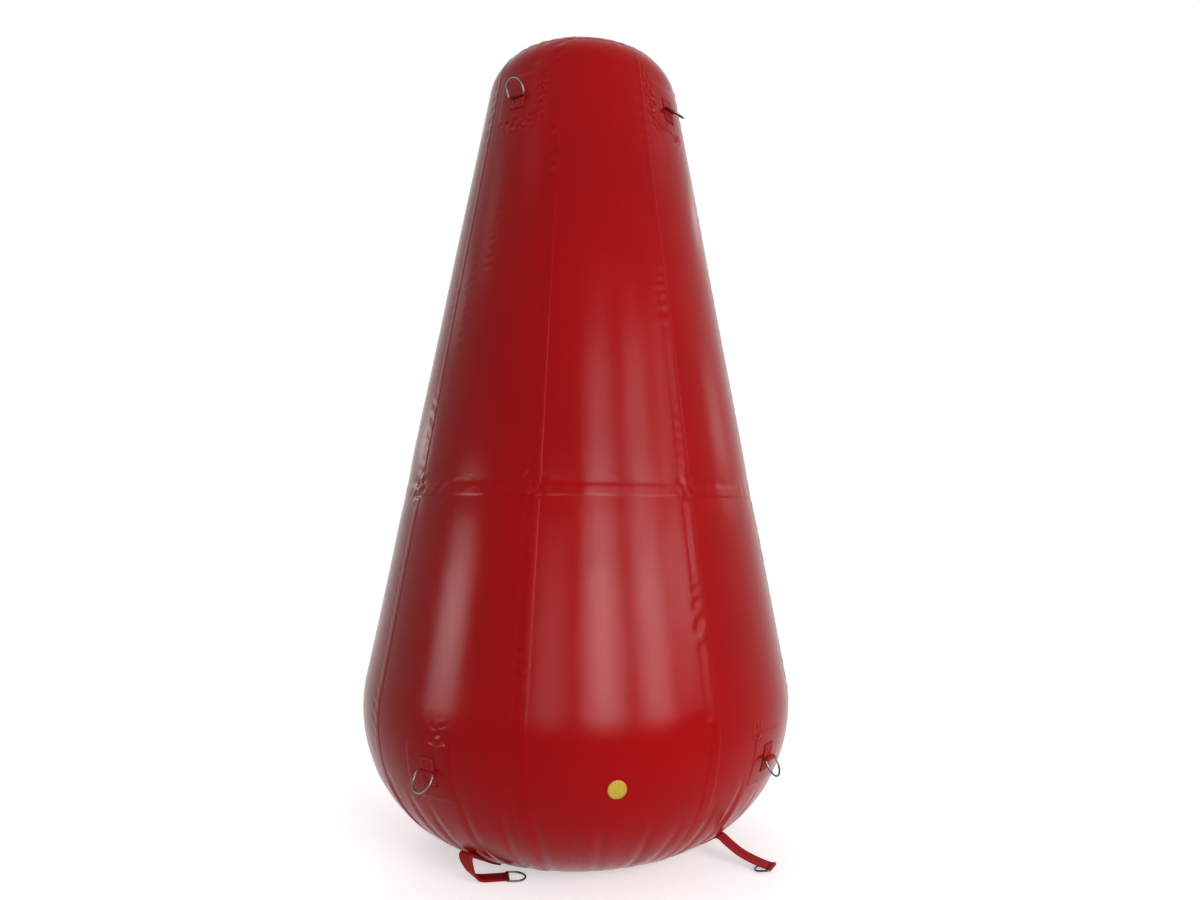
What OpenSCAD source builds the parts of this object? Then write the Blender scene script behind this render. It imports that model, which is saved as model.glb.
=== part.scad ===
// Inflatable race marker buoy: a standing cone of welded PVC panels with D-rings and strap tabs.
// The front, seen in the photograph, faces -Y. Azimuths turn from the front towards +X.

/* [Body] */
// Largest diameter of the inflated body
body_d = 1200; // [1000:10:1500]
// Height from the floor to the crown
body_h = 2310; // [2000:10:2800]
// Radius of the round bottom edge
base_arc_r = 390; // [340:5:430]
// Diameter across the shoulder under the crown
neck_d = 566; // [500:2:640]
// Radius of the shoulder
shoulder_r = 130; // [100:2:150]
// Radius of the domed crown
crown_r = 410; // [360:5:480]

/* [Panels] */
// Thickness of the coated fabric
skin_t = 1; // [0.8:0.1:1.5]
// Weld line between two lapped layers
bond = 0.1; // [0.05:0.05:0.3]
// Width of a welded lap
lap_w = 25; // [15:1:40]
// Height of the girth seam between the two tiers
girth_z = 980; // [800:10:1300]
// Azimuth of the first upright seam
seam_az = -13.5; // [-20:0.5:-5]
// Slope of the bottom edge at the base panel's seam
base_seam_deg = 15; // [10:1:18]

/* [D-rings] */
// Clear width inside a ring
ring_inner_w = 50; // [48:1:56]
// Wire diameter
ring_wire = 5; // [4:0.5:6]
// Straight length of a ring's legs
ring_leg = 13.5; // [8:0.5:24]
// Bend radius of a ring's corners, at the wire's centre
ring_corner_r = 4.5; // [4:0.5:5]
// Running clearance round a ring's bar
bar_clear = 0.3; // [0.2:0.05:0.5]
// Clear height of a ring that lies along the skin
swing_clear = 5; // [5:0.5:8]
// Distance of the upper rings below the shoulder
upper_ring_drop = 102; // [90:2:200]
// Slope of the skin at the lower rings
lower_ring_deg = -12.3; // [-16:0.1:-8]

/* [Webbing] */
// Width of the webbing
webbing_w = 45; // [38:1:46]
// Thickness of the webbing
webbing_t = 2; // [1.5:0.1:2.5]
// Length of a keeper's sewn tails, end to end
keeper_len = 70; // [50:2:90]
// Slope of the skin where a strap tab leaves it
strap_deg = -56; // [-60:0.5:-54]
// Length of a strap tab's sewn root
strap_root = 90; // [70:2:96]

/* [Patches] */
// Width of the square ring patches
patch_w = 150; // [120:2:160]
// Radius of a patch's corners
patch_corner_r = 15; // [5:1:30]
// Thickness of the patches
patch_t = 1; // [0.8:0.1:1.5]

/* [Valve] */
// Slope of the skin at the valve
valve_deg = -13.6; // [-18:0.1:-8]
// Diameter of the valve's flange
valve_d = 44; // [38:1:60]
// Height of the flange's rim over the skin
valve_flange_t = 4; // [3:0.5:6]
// Thickness of the flange under the cap
valve_floor_t = 1; // [0.8:0.1:1.5]
// Width of the rim round the cap
valve_rim_w = 2.5; // [2:0.1:4]
// Clearance round the cap
valve_cap_clear = 0.2; // [0.1:0.05:0.4]
// Depth of the cap's face below the rim
valve_cap_drop = 0.6; // [0.2:0.1:1]
// Diameter of the cap's finger holes
valve_hole_d = 4.5; // [3:0.5:6]
// Distance of the finger holes from the cap's middle
valve_hole_r = 12.5; // [10:0.5:14]
// Angle between the finger holes
valve_hole_deg = 54; // [40:1:90]
// Turn of the cap in the flange
valve_turn = 14; // [-30:1:30]
// Diameter of the dimple in the cap
valve_dimple_d = 9; // [6:0.5:12]
// Width of the notch in the rim
valve_notch_w = 2.5; // [2:0.1:5]
// Bevel of the rim's and the cap's edges
valve_bevel = 0.8; // [0.5:0.1:1.2]

/* [Hidden] */
$fn = 64;
GORES = 8;
gore_deg = 360 / GORES;
ARC_STEPS = 16;
FLAT_STEPS = 4;
// Angle left free at a gore's edge, and the overlap that carries its lap
edge_deg = 0.02;
join_deg = 0.5;
join_h = 5;
// Room by which cutting shapes pass the surfaces they cut
over = 20;

// The four fitting stations: azimuth in gores past the first seam, rest angles of the upper, lower
// and strap rings above the horizontal, the strap tab's turn past the station, and its route
STATION_GORE = 0;
STATION_UPPER = 1;
STATION_LOWER = 2;
STATION_STRAP = 3;
STATION_SKEW = 4;
STATION_ROUTE = 5;
// Free routes of the strap tabs: radius past the root, sideways offset, height and turn of the width.
// The first list of a route hangs from the root's height, the second one lies along the floor.
ROUTE_TURN = 3;
// One drops out to the floor beside the body, the other folds back under it
KICKED_OUT = [
    [[8, 0, 0, 0], [15, 0, 0, 0], [24, 0, -5, 0], [36, 0, -13.5, 0]],
    [[68, 0, 30, 0], [101, 0, 19, 0], [128, 0, 12.8, 0], [150, 0, 9.5, 0]]
];
TUCKED_IN = [
    [[16, 0, 7, 0], [25, 0, 9, 0], [29, 0, 0, 2], [22, 0, -19, 8]],
    [[10, 2, 21, 18], [-4, 5, 7, 28], [-20, 12, 1, 40], [-36, 26, 0, 45], [-50, 40, 0, 45], [-62, 52, 0, 45]]
];
STATIONS = [
    [-0.5, 64, -62, 183, 0, TUCKED_IN],
    [1.5, -40, -63, -165.5, 6, KICKED_OUT],
    [3.5, -60, -64, -165.5, 0, KICKED_OUT],
    [5.5, -60, -64, -165.5, 0, KICKED_OUT]
];

// Meridian of the outer skin: base arc, straight wall, shoulder arc and crown arc, all tangent
base_c = [body_d / 2 - base_arc_r, base_arc_r];
crown_c = [0, body_h - crown_r];
shoulder_off = neck_d / 2 - shoulder_r;
crown_deg = acos(shoulder_off / (crown_r - shoulder_r));
shoulder_c = [shoulder_off, crown_c.y + (crown_r - shoulder_r) * sin(crown_deg)];
arc_line = shoulder_c - base_c;
wall_deg = atan2(arc_line.y, arc_line.x) - acos((base_arc_r - shoulder_r) / norm(arc_line));
base_deg = base_seam_deg - 90;

// Angles and heights where the laps end
lap_base_deg = lap_w / base_arc_r * 180 / PI;
lap_shoulder_deg = lap_w / shoulder_r * 180 / PI;
lap_crown_deg = join_h / crown_r * 180 / PI;
bond_base_deg = bond / base_arc_r * 180 / PI;
bond_shoulder_deg = bond / shoulder_r * 180 / PI;
lap_gore_deg = lap_w / wall_at(girth_z, 0).x * 180 / PI;
sheet_deg = base_deg + bond_base_deg;
lower_lap_deg = base_deg + lap_base_deg + 2 * bond_base_deg;

// Layers stacked on the skin: patch, then webbing, then the ring's bar
patch_low = bond;
patch_high = patch_low + patch_t;
tail_low = patch_high + bond;
tail_high = tail_low + webbing_t;
bar_off = tail_high + swing_clear + ring_wire / 2;
eye_r = ring_wire / 2 + bar_clear;
ring_half = (ring_inner_w + ring_wire) / 2;
strap_t = 2 * webbing_t;
// The strap's middle layer rides clear of the chords of the arc under it
chord_clear = 0.3;
strap_off = tail_low + strap_t / 2 + chord_clear;
strap_seat = polar(base_c, base_arc_r, strap_deg);
// A tab that lies on the floor rests on the eye round its ring
strap_lie = eye_r + webbing_t + bond;
root_deg = strap_root / base_arc_r * 180 / PI;

GORE_IDS = [1 : GORES];
STATION_IDS = [1 : len(STATIONS)];

// Point at an angle on a circle in the radius and height plane
function polar(centre, radius, deg) = centre + radius * [cos(deg), sin(deg)];
// Points along an arc of the meridian, offset outwards
function arc(centre, radius, from_deg, to_deg, steps = ARC_STEPS) =
    [for (i = [0 : steps]) polar(centre, radius, from_deg + (to_deg - from_deg) * i / steps)];
// Point of the straight wall at a height, offset outwards
function wall_at(z, out) =
    let (start = polar(base_c, base_arc_r + out, wall_deg))
    [start.x - (z - start.y) * tan(wall_deg), z];
// Points in reverse order
function reversed(points) = [for (i = [len(points) - 1 : -1 : 0]) points[i]];
// Closed outline between two offset lines
function between(inner, outer) = concat(inner, reversed(outer));

// Lower gore's meridian, from its lap's end or from a slope below that, to a height
function lower_line(out, to_z) =
    concat(arc(base_c, base_arc_r + out, lower_lap_deg, wall_deg), [wall_at(to_z, out)]);
function lower_sheet_line(out, from_deg, to_z) =
    concat([polar(base_c, base_arc_r + out, from_deg)], lower_line(out, to_z));
// Upper gore's meridian, from a height to a slope of the shoulder
function upper_line(out, from_z, to_deg) =
    concat([wall_at(from_z, out)], arc(shoulder_c, shoulder_r + out, wall_deg, to_deg));

// Turn a shape from the +X side to an azimuth
module at_azimuth(az) rotate([0, 0, az - 90]) children();
// Revolve an outline of the meridian over part of a gore
module swept(from_deg, to_deg, outline)
    rotate([0, 0, from_deg])
        rotate_extrude(angle = to_deg - from_deg)
            polygon(outline);

function gore_az(i) = seam_az + (i - 1) * gore_deg;
function station_az(i) = seam_az + STATIONS[i - 1][STATION_GORE] * gore_deg;

// A gore: its sheet, and the lap that lies over the next gore's edge
module gore(i, sheet, lap, joint)
    at_azimuth(gore_az(i)) {
        swept(edge_deg, gore_deg - edge_deg, sheet);
        swept(gore_deg - join_deg, gore_deg - 2 * edge_deg, joint);
        swept(gore_deg - join_deg - edge_deg, gore_deg + lap_gore_deg, lap);
    }

module lower_gore(i) {
    top_z = girth_z - bond;
    lap_z = girth_z - lap_w - 2 * bond;
    color("crimson")
        gore(i,
            between(lower_sheet_line(-skin_t, sheet_deg, top_z), lower_sheet_line(0, sheet_deg, top_z)),
            between(lower_line(bond, lap_z), lower_line(bond + skin_t, lap_z)),
            between(lower_line(-skin_t / 2, lap_z), lower_line(bond + skin_t / 2, lap_z)));
}

module upper_gore(i) {
    to_deg = crown_deg - bond_shoulder_deg;
    lap_deg = crown_deg - lap_shoulder_deg - 2 * bond_shoulder_deg;
    step_z = girth_z + join_h;
    lap_z = step_z + bond;
    sheet = concat(
        upper_line(-skin_t, girth_z, to_deg),
        reversed(upper_line(0, step_z, to_deg)),
        [wall_at(step_z, bond + skin_t), wall_at(girth_z - lap_w, bond + skin_t)],
        [wall_at(girth_z - lap_w, bond), wall_at(girth_z, bond)]);
    color("crimson")
        gore(i, sheet,
            between(upper_line(bond, lap_z, lap_deg), upper_line(bond + skin_t, lap_z, lap_deg)),
            between(upper_line(-skin_t / 2, lap_z, lap_deg), upper_line(bond + skin_t / 2, lap_z, lap_deg)));
}

// Round panel that the body stands on, lapped over the lower gores
module base_panel() {
    lap_end = base_deg + lap_base_deg;
    lap_start = base_deg - lap_base_deg / 5;
    outline = concat(
        [[0, skin_t]],
        arc(base_c, base_arc_r - skin_t, -90, base_deg, FLAT_STEPS),
        arc(base_c, base_arc_r + bond, base_deg, lap_end, FLAT_STEPS),
        arc(base_c, base_arc_r + bond + skin_t, lap_end, lap_start, FLAT_STEPS),
        arc(base_c, base_arc_r, lap_start, -90, FLAT_STEPS),
        [[0, 0]]);
    color("crimson")
        rotate_extrude()
            polygon(outline);
}

// Domed crown, lapped over the upper gores
module crown_panel() {
    lap_end = crown_deg - lap_shoulder_deg;
    lap_start = crown_deg + lap_crown_deg;
    outline = concat(
        arc(shoulder_c, shoulder_r + bond, lap_end, crown_deg, FLAT_STEPS),
        arc(crown_c, crown_r - skin_t, crown_deg, 90),
        arc(crown_c, crown_r, 90, lap_start),
        arc(crown_c, crown_r + bond + skin_t, lap_start, crown_deg, 1),
        arc(shoulder_c, shoulder_r + bond + skin_t, crown_deg, lap_end, FLAT_STEPS));
    color("crimson")
        rotate_extrude()
            polygon(outline);
}

// Layer of the skin round the upper rings, round the lower rings and under the strap tabs
module upper_layer(low, high, reach)
    swept(-gore_deg / 2, gore_deg / 2,
        between([wall_at(upper_ring_z - reach, low), wall_at(upper_ring_z + reach, low)],
            [wall_at(upper_ring_z - reach, high), wall_at(upper_ring_z + reach, high)]));
module base_layer(low, high, middle_deg, reach) {
    reach_deg = reach / base_arc_r * 180 / PI;
    swept(-gore_deg / 2, gore_deg / 2,
        between(arc(base_c, base_arc_r + low, middle_deg - reach_deg, middle_deg + reach_deg),
            arc(base_c, base_arc_r + high, middle_deg - reach_deg, middle_deg + reach_deg)));
}
// Frame on the skin: +X along its normal, +Y sideways and +Z up the meridian
module on_skin(point, deg) translate([point.x, 0, point.y]) rotate([0, -deg, 0]) children();
upper_ring_z = polar(shoulder_c, shoulder_r, wall_deg).y - upper_ring_drop;
upper_seat = wall_at(upper_ring_z, 0);
lower_seat = polar(base_c, base_arc_r, lower_ring_deg);

// Square welded patch with round corners, cut out of a layer of the skin
module patch_cutter() {
    corner = patch_w / 2 - patch_corner_r;
    translate([-over, 0, 0])
        rotate([0, 90, 0])
            linear_extrude(2 * over) {
                square([patch_w, 2 * corner], center = true);
                square([2 * corner, patch_w], center = true);
                for (x = [-corner, corner], y = [-corner, corner])
                    translate([x, y]) circle(patch_corner_r);
            }
}
module upper_patch(i)
    color("firebrick")
        at_azimuth(station_az(i))
            intersection() {
                upper_layer(patch_low, patch_high, patch_w / 2 + over);
                on_skin(upper_seat, wall_deg) patch_cutter();
            }
module lower_patch(i)
    color("firebrick")
        at_azimuth(station_az(i))
            intersection() {
                base_layer(patch_low, patch_high, lower_ring_deg, patch_w / 2 + over);
                on_skin(lower_seat, lower_ring_deg) patch_cutter();
            }

// Webbing keeper: an eye round the ring's bar on a doubled neck
module keeper_eye() {
    neck_low = (tail_low + tail_high) / 2;
    neck_high = bar_off - eye_r - webbing_t / 2;
    translate([0, webbing_w / 2, 0])
        rotate([90, 0, 0])
            linear_extrude(webbing_w) {
                difference() {
                    translate([bar_off, 0]) circle(eye_r + webbing_t);
                    translate([bar_off, 0]) circle(eye_r);
                }
                translate([neck_low, -webbing_t]) square([neck_high - neck_low, 2 * webbing_t]);
            }
}
module keeper_tails() translate([-over, -webbing_w / 2, -keeper_len / 2]) cube([2 * over, webbing_w, keeper_len]);
module upper_keeper(i)
    color("darkred")
        at_azimuth(station_az(i)) {
            intersection() {
                upper_layer(tail_low, tail_high, keeper_len / 2 + over);
                on_skin(upper_seat, wall_deg) keeper_tails();
            }
            on_skin(upper_seat, wall_deg) keeper_eye();
        }
module lower_keeper(i)
    color("darkred")
        at_azimuth(station_az(i)) {
            intersection() {
                base_layer(tail_low, tail_high, lower_ring_deg, keeper_len / 2 + over);
                on_skin(lower_seat, lower_ring_deg) keeper_tails();
            }
            on_skin(lower_seat, lower_ring_deg) keeper_eye();
        }

// D-ring: bar along Y through the origin, arch towards +X
module d_ring() {
    wire_r = ring_wire / 2;
    bar_half = ring_half - ring_corner_r;
    arch_x = ring_corner_r + ring_leg;
    translate([0, -bar_half, 0]) rotate([-90, 0, 0]) cylinder(r = wire_r, h = 2 * bar_half);
    for (side = [-1, 1]) {
        translate([ring_corner_r, side * ring_half, 0]) rotate([0, 90, 0]) cylinder(r = wire_r, h = ring_leg);
        translate([ring_corner_r, side * bar_half, 0])
            rotate([0, 0, side > 0 ? 90 : 180])
                rotate_extrude(angle = 90)
                    translate([ring_corner_r, 0]) circle(wire_r);
    }
    translate([arch_x, 0, 0])
        rotate([0, 0, -90])
            rotate_extrude(angle = 180)
                translate([ring_half, 0]) circle(wire_r);
}
module upper_ring(i)
    color("silver")
        at_azimuth(station_az(i))
            on_skin(polar(upper_seat, bar_off, wall_deg), STATIONS[i - 1][STATION_UPPER]) d_ring();
module lower_ring(i)
    color("silver")
        at_azimuth(station_az(i))
            on_skin(polar(lower_seat, bar_off, lower_ring_deg), STATIONS[i - 1][STATION_LOWER]) d_ring();

// Strap tabs: root points on the skin, then the free route, as radius, sideways offset and height
function root_points() =
    [for (point = arc(base_c, base_arc_r + strap_off, strap_deg - root_deg, strap_deg, FLAT_STEPS))
        [point.x, 0, point.y]];
function free_points(points, height) = [for (point = points) [strap_seat.x + point.x, point.y, height + point.z]];
function route(i) =
    let (lists = STATIONS[i - 1][STATION_ROUTE])
    concat(root_points(), free_points(lists[0], strap_seat.y), free_points(lists[1], strap_lie));
// Turn of the tab's width at each point, from sideways towards outwards
function turns(i) =
    let (lists = STATIONS[i - 1][STATION_ROUTE])
    concat([for (point = root_points()) 0], [for (point = concat(lists[0], lists[1])) point[ROUTE_TURN]]);
function strap_az(i) = station_az(i) + STATIONS[i - 1][STATION_SKEW];
function unit(v) = v / norm(v);
// Direction of the route at a point
function heading(points, k) = unit(points[min(k + 1, len(points) - 1)] - points[max(k - 1, 0)]);
// Corners of the tab's cross-section at a point
function section(points, turn, k) =
    let (wide = [sin(turn), cos(turn), 0],
        side = wide * webbing_w / 2,
        rise = unit(cross(heading(points, k), wide)) * strap_t / 2)
    [points[k] - side - rise, points[k] + side - rise, points[k] + side + rise, points[k] - side + rise];
module strip(points, turn) {
    count = len(points);
    corners = [for (k = [0 : count - 1]) each section(points, turn[k], k)];
    sides = [for (k = [0 : count - 2], c = [0 : 3])
        let (here = 4 * k, ahead = here + 4, d = (c + 1) % 4)
        each [[here + c, ahead + c, ahead + d], [here + c, ahead + d, here + d]]];
    ends = [[0, 1, 2, 3], [for (c = [3 : -1 : 0]) 4 * (count - 1) + c]];
    polyhedron(corners, concat(sides, ends), convexity = 6);
}
// Bar of the ring at a strap tab's end, in line with the tab's last stretch
function strap_bar(i) =
    let (points = route(i), last = len(points) - 1)
    points[last] + heading(points, last) * (eye_r + webbing_t / 2);
function strap_yaw(i) = let (turn = turns(i)) -turn[len(turn) - 1];
module at_strap_bar(i) at_azimuth(strap_az(i)) translate(strap_bar(i)) rotate([0, 0, strap_yaw(i)]) children();
module strap(i)
    color("darkred") {
        at_azimuth(strap_az(i)) strip(route(i), turns(i));
        at_strap_bar(i)
            translate([0, webbing_w / 2, 0])
                rotate([90, 0, 0])
                    linear_extrude(webbing_w)
                        difference() {
                            circle(eye_r + webbing_t);
                            circle(eye_r);
                        }
    }
module strap_ring(i)
    color("silver")
        at_strap_bar(i) rotate([0, -STATIONS[i - 1][STATION_STRAP], 0]) d_ring();
module strap_patch(i) {
    middle_deg = strap_deg - root_deg / 2;
    wide = webbing_w + lap_w;
    color("firebrick")
        at_azimuth(strap_az(i))
            intersection() {
                base_layer(patch_low, patch_high, middle_deg, strap_root / 2 + over);
                on_skin(polar(base_c, base_arc_r, middle_deg), middle_deg)
                    translate([-over, -wide / 2, -strap_root / 2]) cube([2 * over, wide, strap_root]);
            }
}

// Valve: a flange welded to the skin, and a cap that lies flush inside its notched rim
valve_az = seam_az + gore_deg / 2;
valve_seat = polar(base_c, base_arc_r, valve_deg);
valve_well_d = valve_d - 2 * valve_rim_w;
valve_cap_d = valve_well_d - 2 * valve_cap_clear;
valve_cap_t = valve_flange_t - valve_floor_t - valve_cap_drop;
valve_hole_t = valve_cap_t / 2;
// Frame on the valve: +Z out of the skin and +X down the meridian
module at_valve() at_azimuth(valve_az) on_skin(valve_seat, valve_deg) rotate([0, 90, 0]) children();
// Disc with a bevelled upper edge
module bevelled_disc(d, h) {
    cylinder(d = d, h = h - valve_bevel);
    translate([0, 0, h - valve_bevel]) cylinder(d1 = d, d2 = d - 2 * valve_bevel, h = valve_bevel);
}
module valve_base()
    color("goldenrod")
        at_valve()
            difference() {
                translate([0, 0, bond]) bevelled_disc(valve_d, valve_flange_t - bond);
                translate([0, 0, valve_floor_t]) {
                    cylinder(d = valve_well_d, h = over);
                    translate([0, -valve_notch_w / 2, 0]) cube([valve_d, valve_notch_w, over]);
                }
            }
module valve_cap()
    color("gold")
        at_valve()
            rotate([0, 0, valve_turn])
                translate([0, 0, valve_floor_t])
                    difference() {
                        bevelled_disc(valve_cap_d, valve_cap_t);
                        for (side = [-1, 1])
                            rotate([0, 0, 180 + side * valve_hole_deg / 2])
                                translate([valve_hole_r, 0, valve_cap_t - valve_hole_t])
                                    cylinder(d = valve_hole_d, h = over);
                        translate([valve_dimple_d / 2, 0, valve_cap_t - valve_hole_t / 2])
                            cylinder(d = valve_dimple_d, h = over);
                    }

base_panel();
crown_panel();
valve_base();
valve_cap();
for (i = GORE_IDS) {
    lower_gore(i);
    upper_gore(i);
}
for (i = STATION_IDS) {
    upper_patch(i);
    lower_patch(i);
    upper_keeper(i);
    lower_keeper(i);
    strap_patch(i);
    strap(i);
    upper_ring(i);
    lower_ring(i);
    strap_ring(i);
}
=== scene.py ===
"""Looks of an inflatable race marker buoy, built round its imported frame.

Lengths are in metres and angles in degrees unless a name says otherwise. Azimuths turn from the front,
which faces -Y, towards +X. A place on the skin is an azimuth and a length along the meridian from the
foot's middle.
"""
import logging
from abc import ABC, abstractmethod
from dataclasses import dataclass, field
from enum import Enum
from functools import cached_property

import bpy
import numpy as np
from mathutils import Matrix


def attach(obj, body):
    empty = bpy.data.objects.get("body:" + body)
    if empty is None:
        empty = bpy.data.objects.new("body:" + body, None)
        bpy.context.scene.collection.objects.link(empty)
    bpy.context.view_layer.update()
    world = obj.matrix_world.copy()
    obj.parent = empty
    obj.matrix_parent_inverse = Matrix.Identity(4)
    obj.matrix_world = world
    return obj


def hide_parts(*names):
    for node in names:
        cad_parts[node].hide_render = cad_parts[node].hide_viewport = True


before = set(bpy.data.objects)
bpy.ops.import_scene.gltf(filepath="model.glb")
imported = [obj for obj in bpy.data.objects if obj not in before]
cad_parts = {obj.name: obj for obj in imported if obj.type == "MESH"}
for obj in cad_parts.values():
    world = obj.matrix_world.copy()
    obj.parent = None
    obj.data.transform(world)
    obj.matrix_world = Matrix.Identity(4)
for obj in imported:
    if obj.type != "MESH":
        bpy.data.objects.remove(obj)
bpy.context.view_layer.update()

LOG = logging.getLogger("buoy")
ENVELOPE = "envelope"
GORES = 8
GORE_DEG = 360 / GORES
SEAM_AZ = -13.5
UV_NAME = "cut"
WELD_NAME = "weld"

# Points of a webbing strip's outline, and what Blender's wave, noise and colour mix nodes work with
STRIP_EDGE_POINTS = 7
STRIP_FACE_STEPS = 8
WAVE_TEXTURE_TURN = 20.0
NOISE_LOW, NOISE_HIGH = 0.3, 0.7
MIX_SHARE, MIX_FIRST, MIX_SECOND, MIX_RESULT = 0, 6, 7, 2

Array = np.ndarray
Colour = tuple[float, float, float]


# Array helpers

def outward(az: Array) -> Array:
    """Horizontal unit vectors that point out of the body at azimuths in degrees."""
    a = np.radians(az)
    return np.stack([np.sin(a), -np.cos(a), np.zeros_like(a)], axis=-1)


def sideways(az: Array) -> Array:
    """Horizontal unit vectors in which the azimuth grows."""
    a = np.radians(az)
    return np.stack([np.cos(a), np.sin(a), np.zeros_like(a)], axis=-1)


def wrapped(az: Array) -> Array:
    """Azimuth differences brought into -180 to 180 degrees."""
    return (np.asarray(az) + 180.0) % 360.0 - 180.0


def ramp(x: Array, low: float, high: float) -> Array:
    """Smooth step from 0 at low to 1 at high: 3 t squared less 2 t cubed."""
    t = np.clip((np.asarray(x) - low) / (high - low), 0.0, 1.0)
    return t * t * (3.0 - 2.0 * t)


def bell(x: Array, width: float) -> Array:
    """Bell curve of height 1: e to minus the square of x over width."""
    return np.exp(-np.square(np.asarray(x) / width))


def unit(v: Array) -> Array:
    """Vectors scaled to length 1 along the last axis."""
    return v / np.maximum(np.linalg.norm(v, axis=-1, keepdims=True), 1e-12)


def spaced(*stretches: tuple[float, float, int]) -> Array:
    """Rising numbers that join several evenly divided stretches.

    Args:
        stretches: start, end and number of steps of each stretch, end to end.

    Returns:
        The numbers, with each shared end once.
    """
    parts = [np.linspace(a, b, n, endpoint=False) for a, b, n in stretches]
    return np.concatenate([*parts, [stretches[-1][1]]])


def smooth_path(points: Array, steps: int) -> Array:
    """Smooth line through points: cubic stretches whose end slopes follow the neighbouring points.

    Args:
        points: the line's own points, one row each.
        steps: number of steps between two points.

    Returns:
        Points along the line, one row each.
    """
    count = len(points)
    t = np.linspace(0.0, count - 1.0, (count - 1) * steps + 1)
    k = np.minimum(t.astype(int), count - 2)
    f = (t - k)[:, None]
    before, here = points[np.maximum(k - 1, 0)], points[k]
    ahead, after = points[k + 1], points[np.minimum(k + 2, count - 1)]
    bend = 2 * before - 5 * here + 4 * ahead - after
    curl = 3 * here - before - 3 * ahead + after
    return here + 0.5 * f * (ahead - before + f * (bend + f * curl))


def path_lengths(points: Array) -> Array:
    """Length along a path up to each of its points."""
    return np.concatenate([[0.0], np.cumsum(np.linalg.norm(np.diff(points, axis=0), axis=1))])


def path_frame(path: Array, wide: Array) -> tuple[Array, Array, Array]:
    """Directions along a path, across it and out of it.

    Across is the width's direction less its share along the path, and out is square to both.

    Args:
        path: points of the path, one row each.
        wide: direction of the width at each point.

    Returns:
        The three unit vectors at each point.
    """
    heading = unit(np.gradient(path, axis=0))
    across = unit(wide - heading * np.sum(wide * heading, axis=1, keepdims=True))
    return heading, across, np.cross(heading, across)


@dataclass(frozen=True)
class Waves:
    """Soft irregular pattern: a sum of plane waves with settled pitches, headings and phases."""

    pitch: float
    seed: int
    count: int = 7
    spread: float = 0.35
    usual_peak: float = 1.6

    @cached_property
    def draws(self) -> tuple[Array, Array, Array]:
        """Numbers of the waves, drawn once from the seed.

        Returns:
            Pitch, heading in radians and phase of each wave.
        """
        rng = np.random.default_rng(self.seed)
        pitch = self.pitch * (1.0 + self.spread * rng.uniform(-1.0, 1.0, self.count))
        heading = np.pi * (np.arange(self.count) + rng.uniform(0.0, 1.0, self.count)) / self.count
        return pitch, heading, rng.uniform(0.0, 2.0 * np.pi, self.count)

    def along(self, x: Array, shift: Array | float = 0.0) -> Array:
        """Pattern of one length: a scaled sum of cosines of the length over each pitch.

        Args:
            x: the length.
            shift: phase, in radians, added to every wave.

        Returns:
            The pattern, about -1 to 1.
        """
        pitch, _, phase = self.draws
        turns = 2.0 * np.pi * np.asarray(x)[..., None] / pitch + phase + np.asarray(shift)[..., None]
        return np.cos(turns).sum(-1) * np.sqrt(2.0 / self.count) / self.usual_peak

    def across(self, x: Array, y: Array) -> Array:
        """Pattern of two lengths: a scaled sum of cosines of the distance along each wave's heading.

        Args:
            x: the first length.
            y: the second length.

        Returns:
            The pattern, about -1 to 1.
        """
        pitch, heading, phase = self.draws
        run = np.asarray(x)[..., None] * np.cos(heading) + np.asarray(y)[..., None] * np.sin(heading)
        turns = 2.0 * np.pi * run / pitch + phase
        return np.cos(turns).sum(-1) * np.sqrt(2.0 / self.count) / self.usual_peak


# Meshes

def new_piece(name: str, points: Array, corners: Array, starts: Array, uv: Array,
              weld: Array) -> bpy.types.Object:
    """Make a smooth mesh object at the origin.

    Args:
        name: name of the piece.
        points: its points, one row each.
        corners: point numbers of all faces in a row.
        starts: where each face starts among the corners.
        uv: place of each point on the cut cloth.
        weld: share of weld at each point.

    Returns:
        The new object, with its UV map and its weld attribute.
    """
    mesh = bpy.data.meshes.new(name)
    mesh.vertices.add(len(points))
    mesh.vertices.foreach_set("co", points.astype(np.float32).ravel())
    mesh.loops.add(len(corners))
    mesh.loops.foreach_set("vertex_index", corners.astype(np.int32))
    mesh.polygons.add(len(starts))
    mesh.polygons.foreach_set("loop_start", starts.astype(np.int32))
    mesh.polygons.foreach_set("use_smooth", np.ones(len(starts), bool))
    layer = mesh.uv_layers.new(name=UV_NAME)
    layer.data.foreach_set("uv", uv[corners].astype(np.float32).ravel())
    mesh.attributes.new(WELD_NAME, "FLOAT", "POINT").data.foreach_set("value", weld.astype(np.float32))
    mesh.update(calc_edges=True)
    piece = bpy.data.objects.new(name, mesh)
    bpy.context.scene.collection.objects.link(piece)
    return piece


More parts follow.
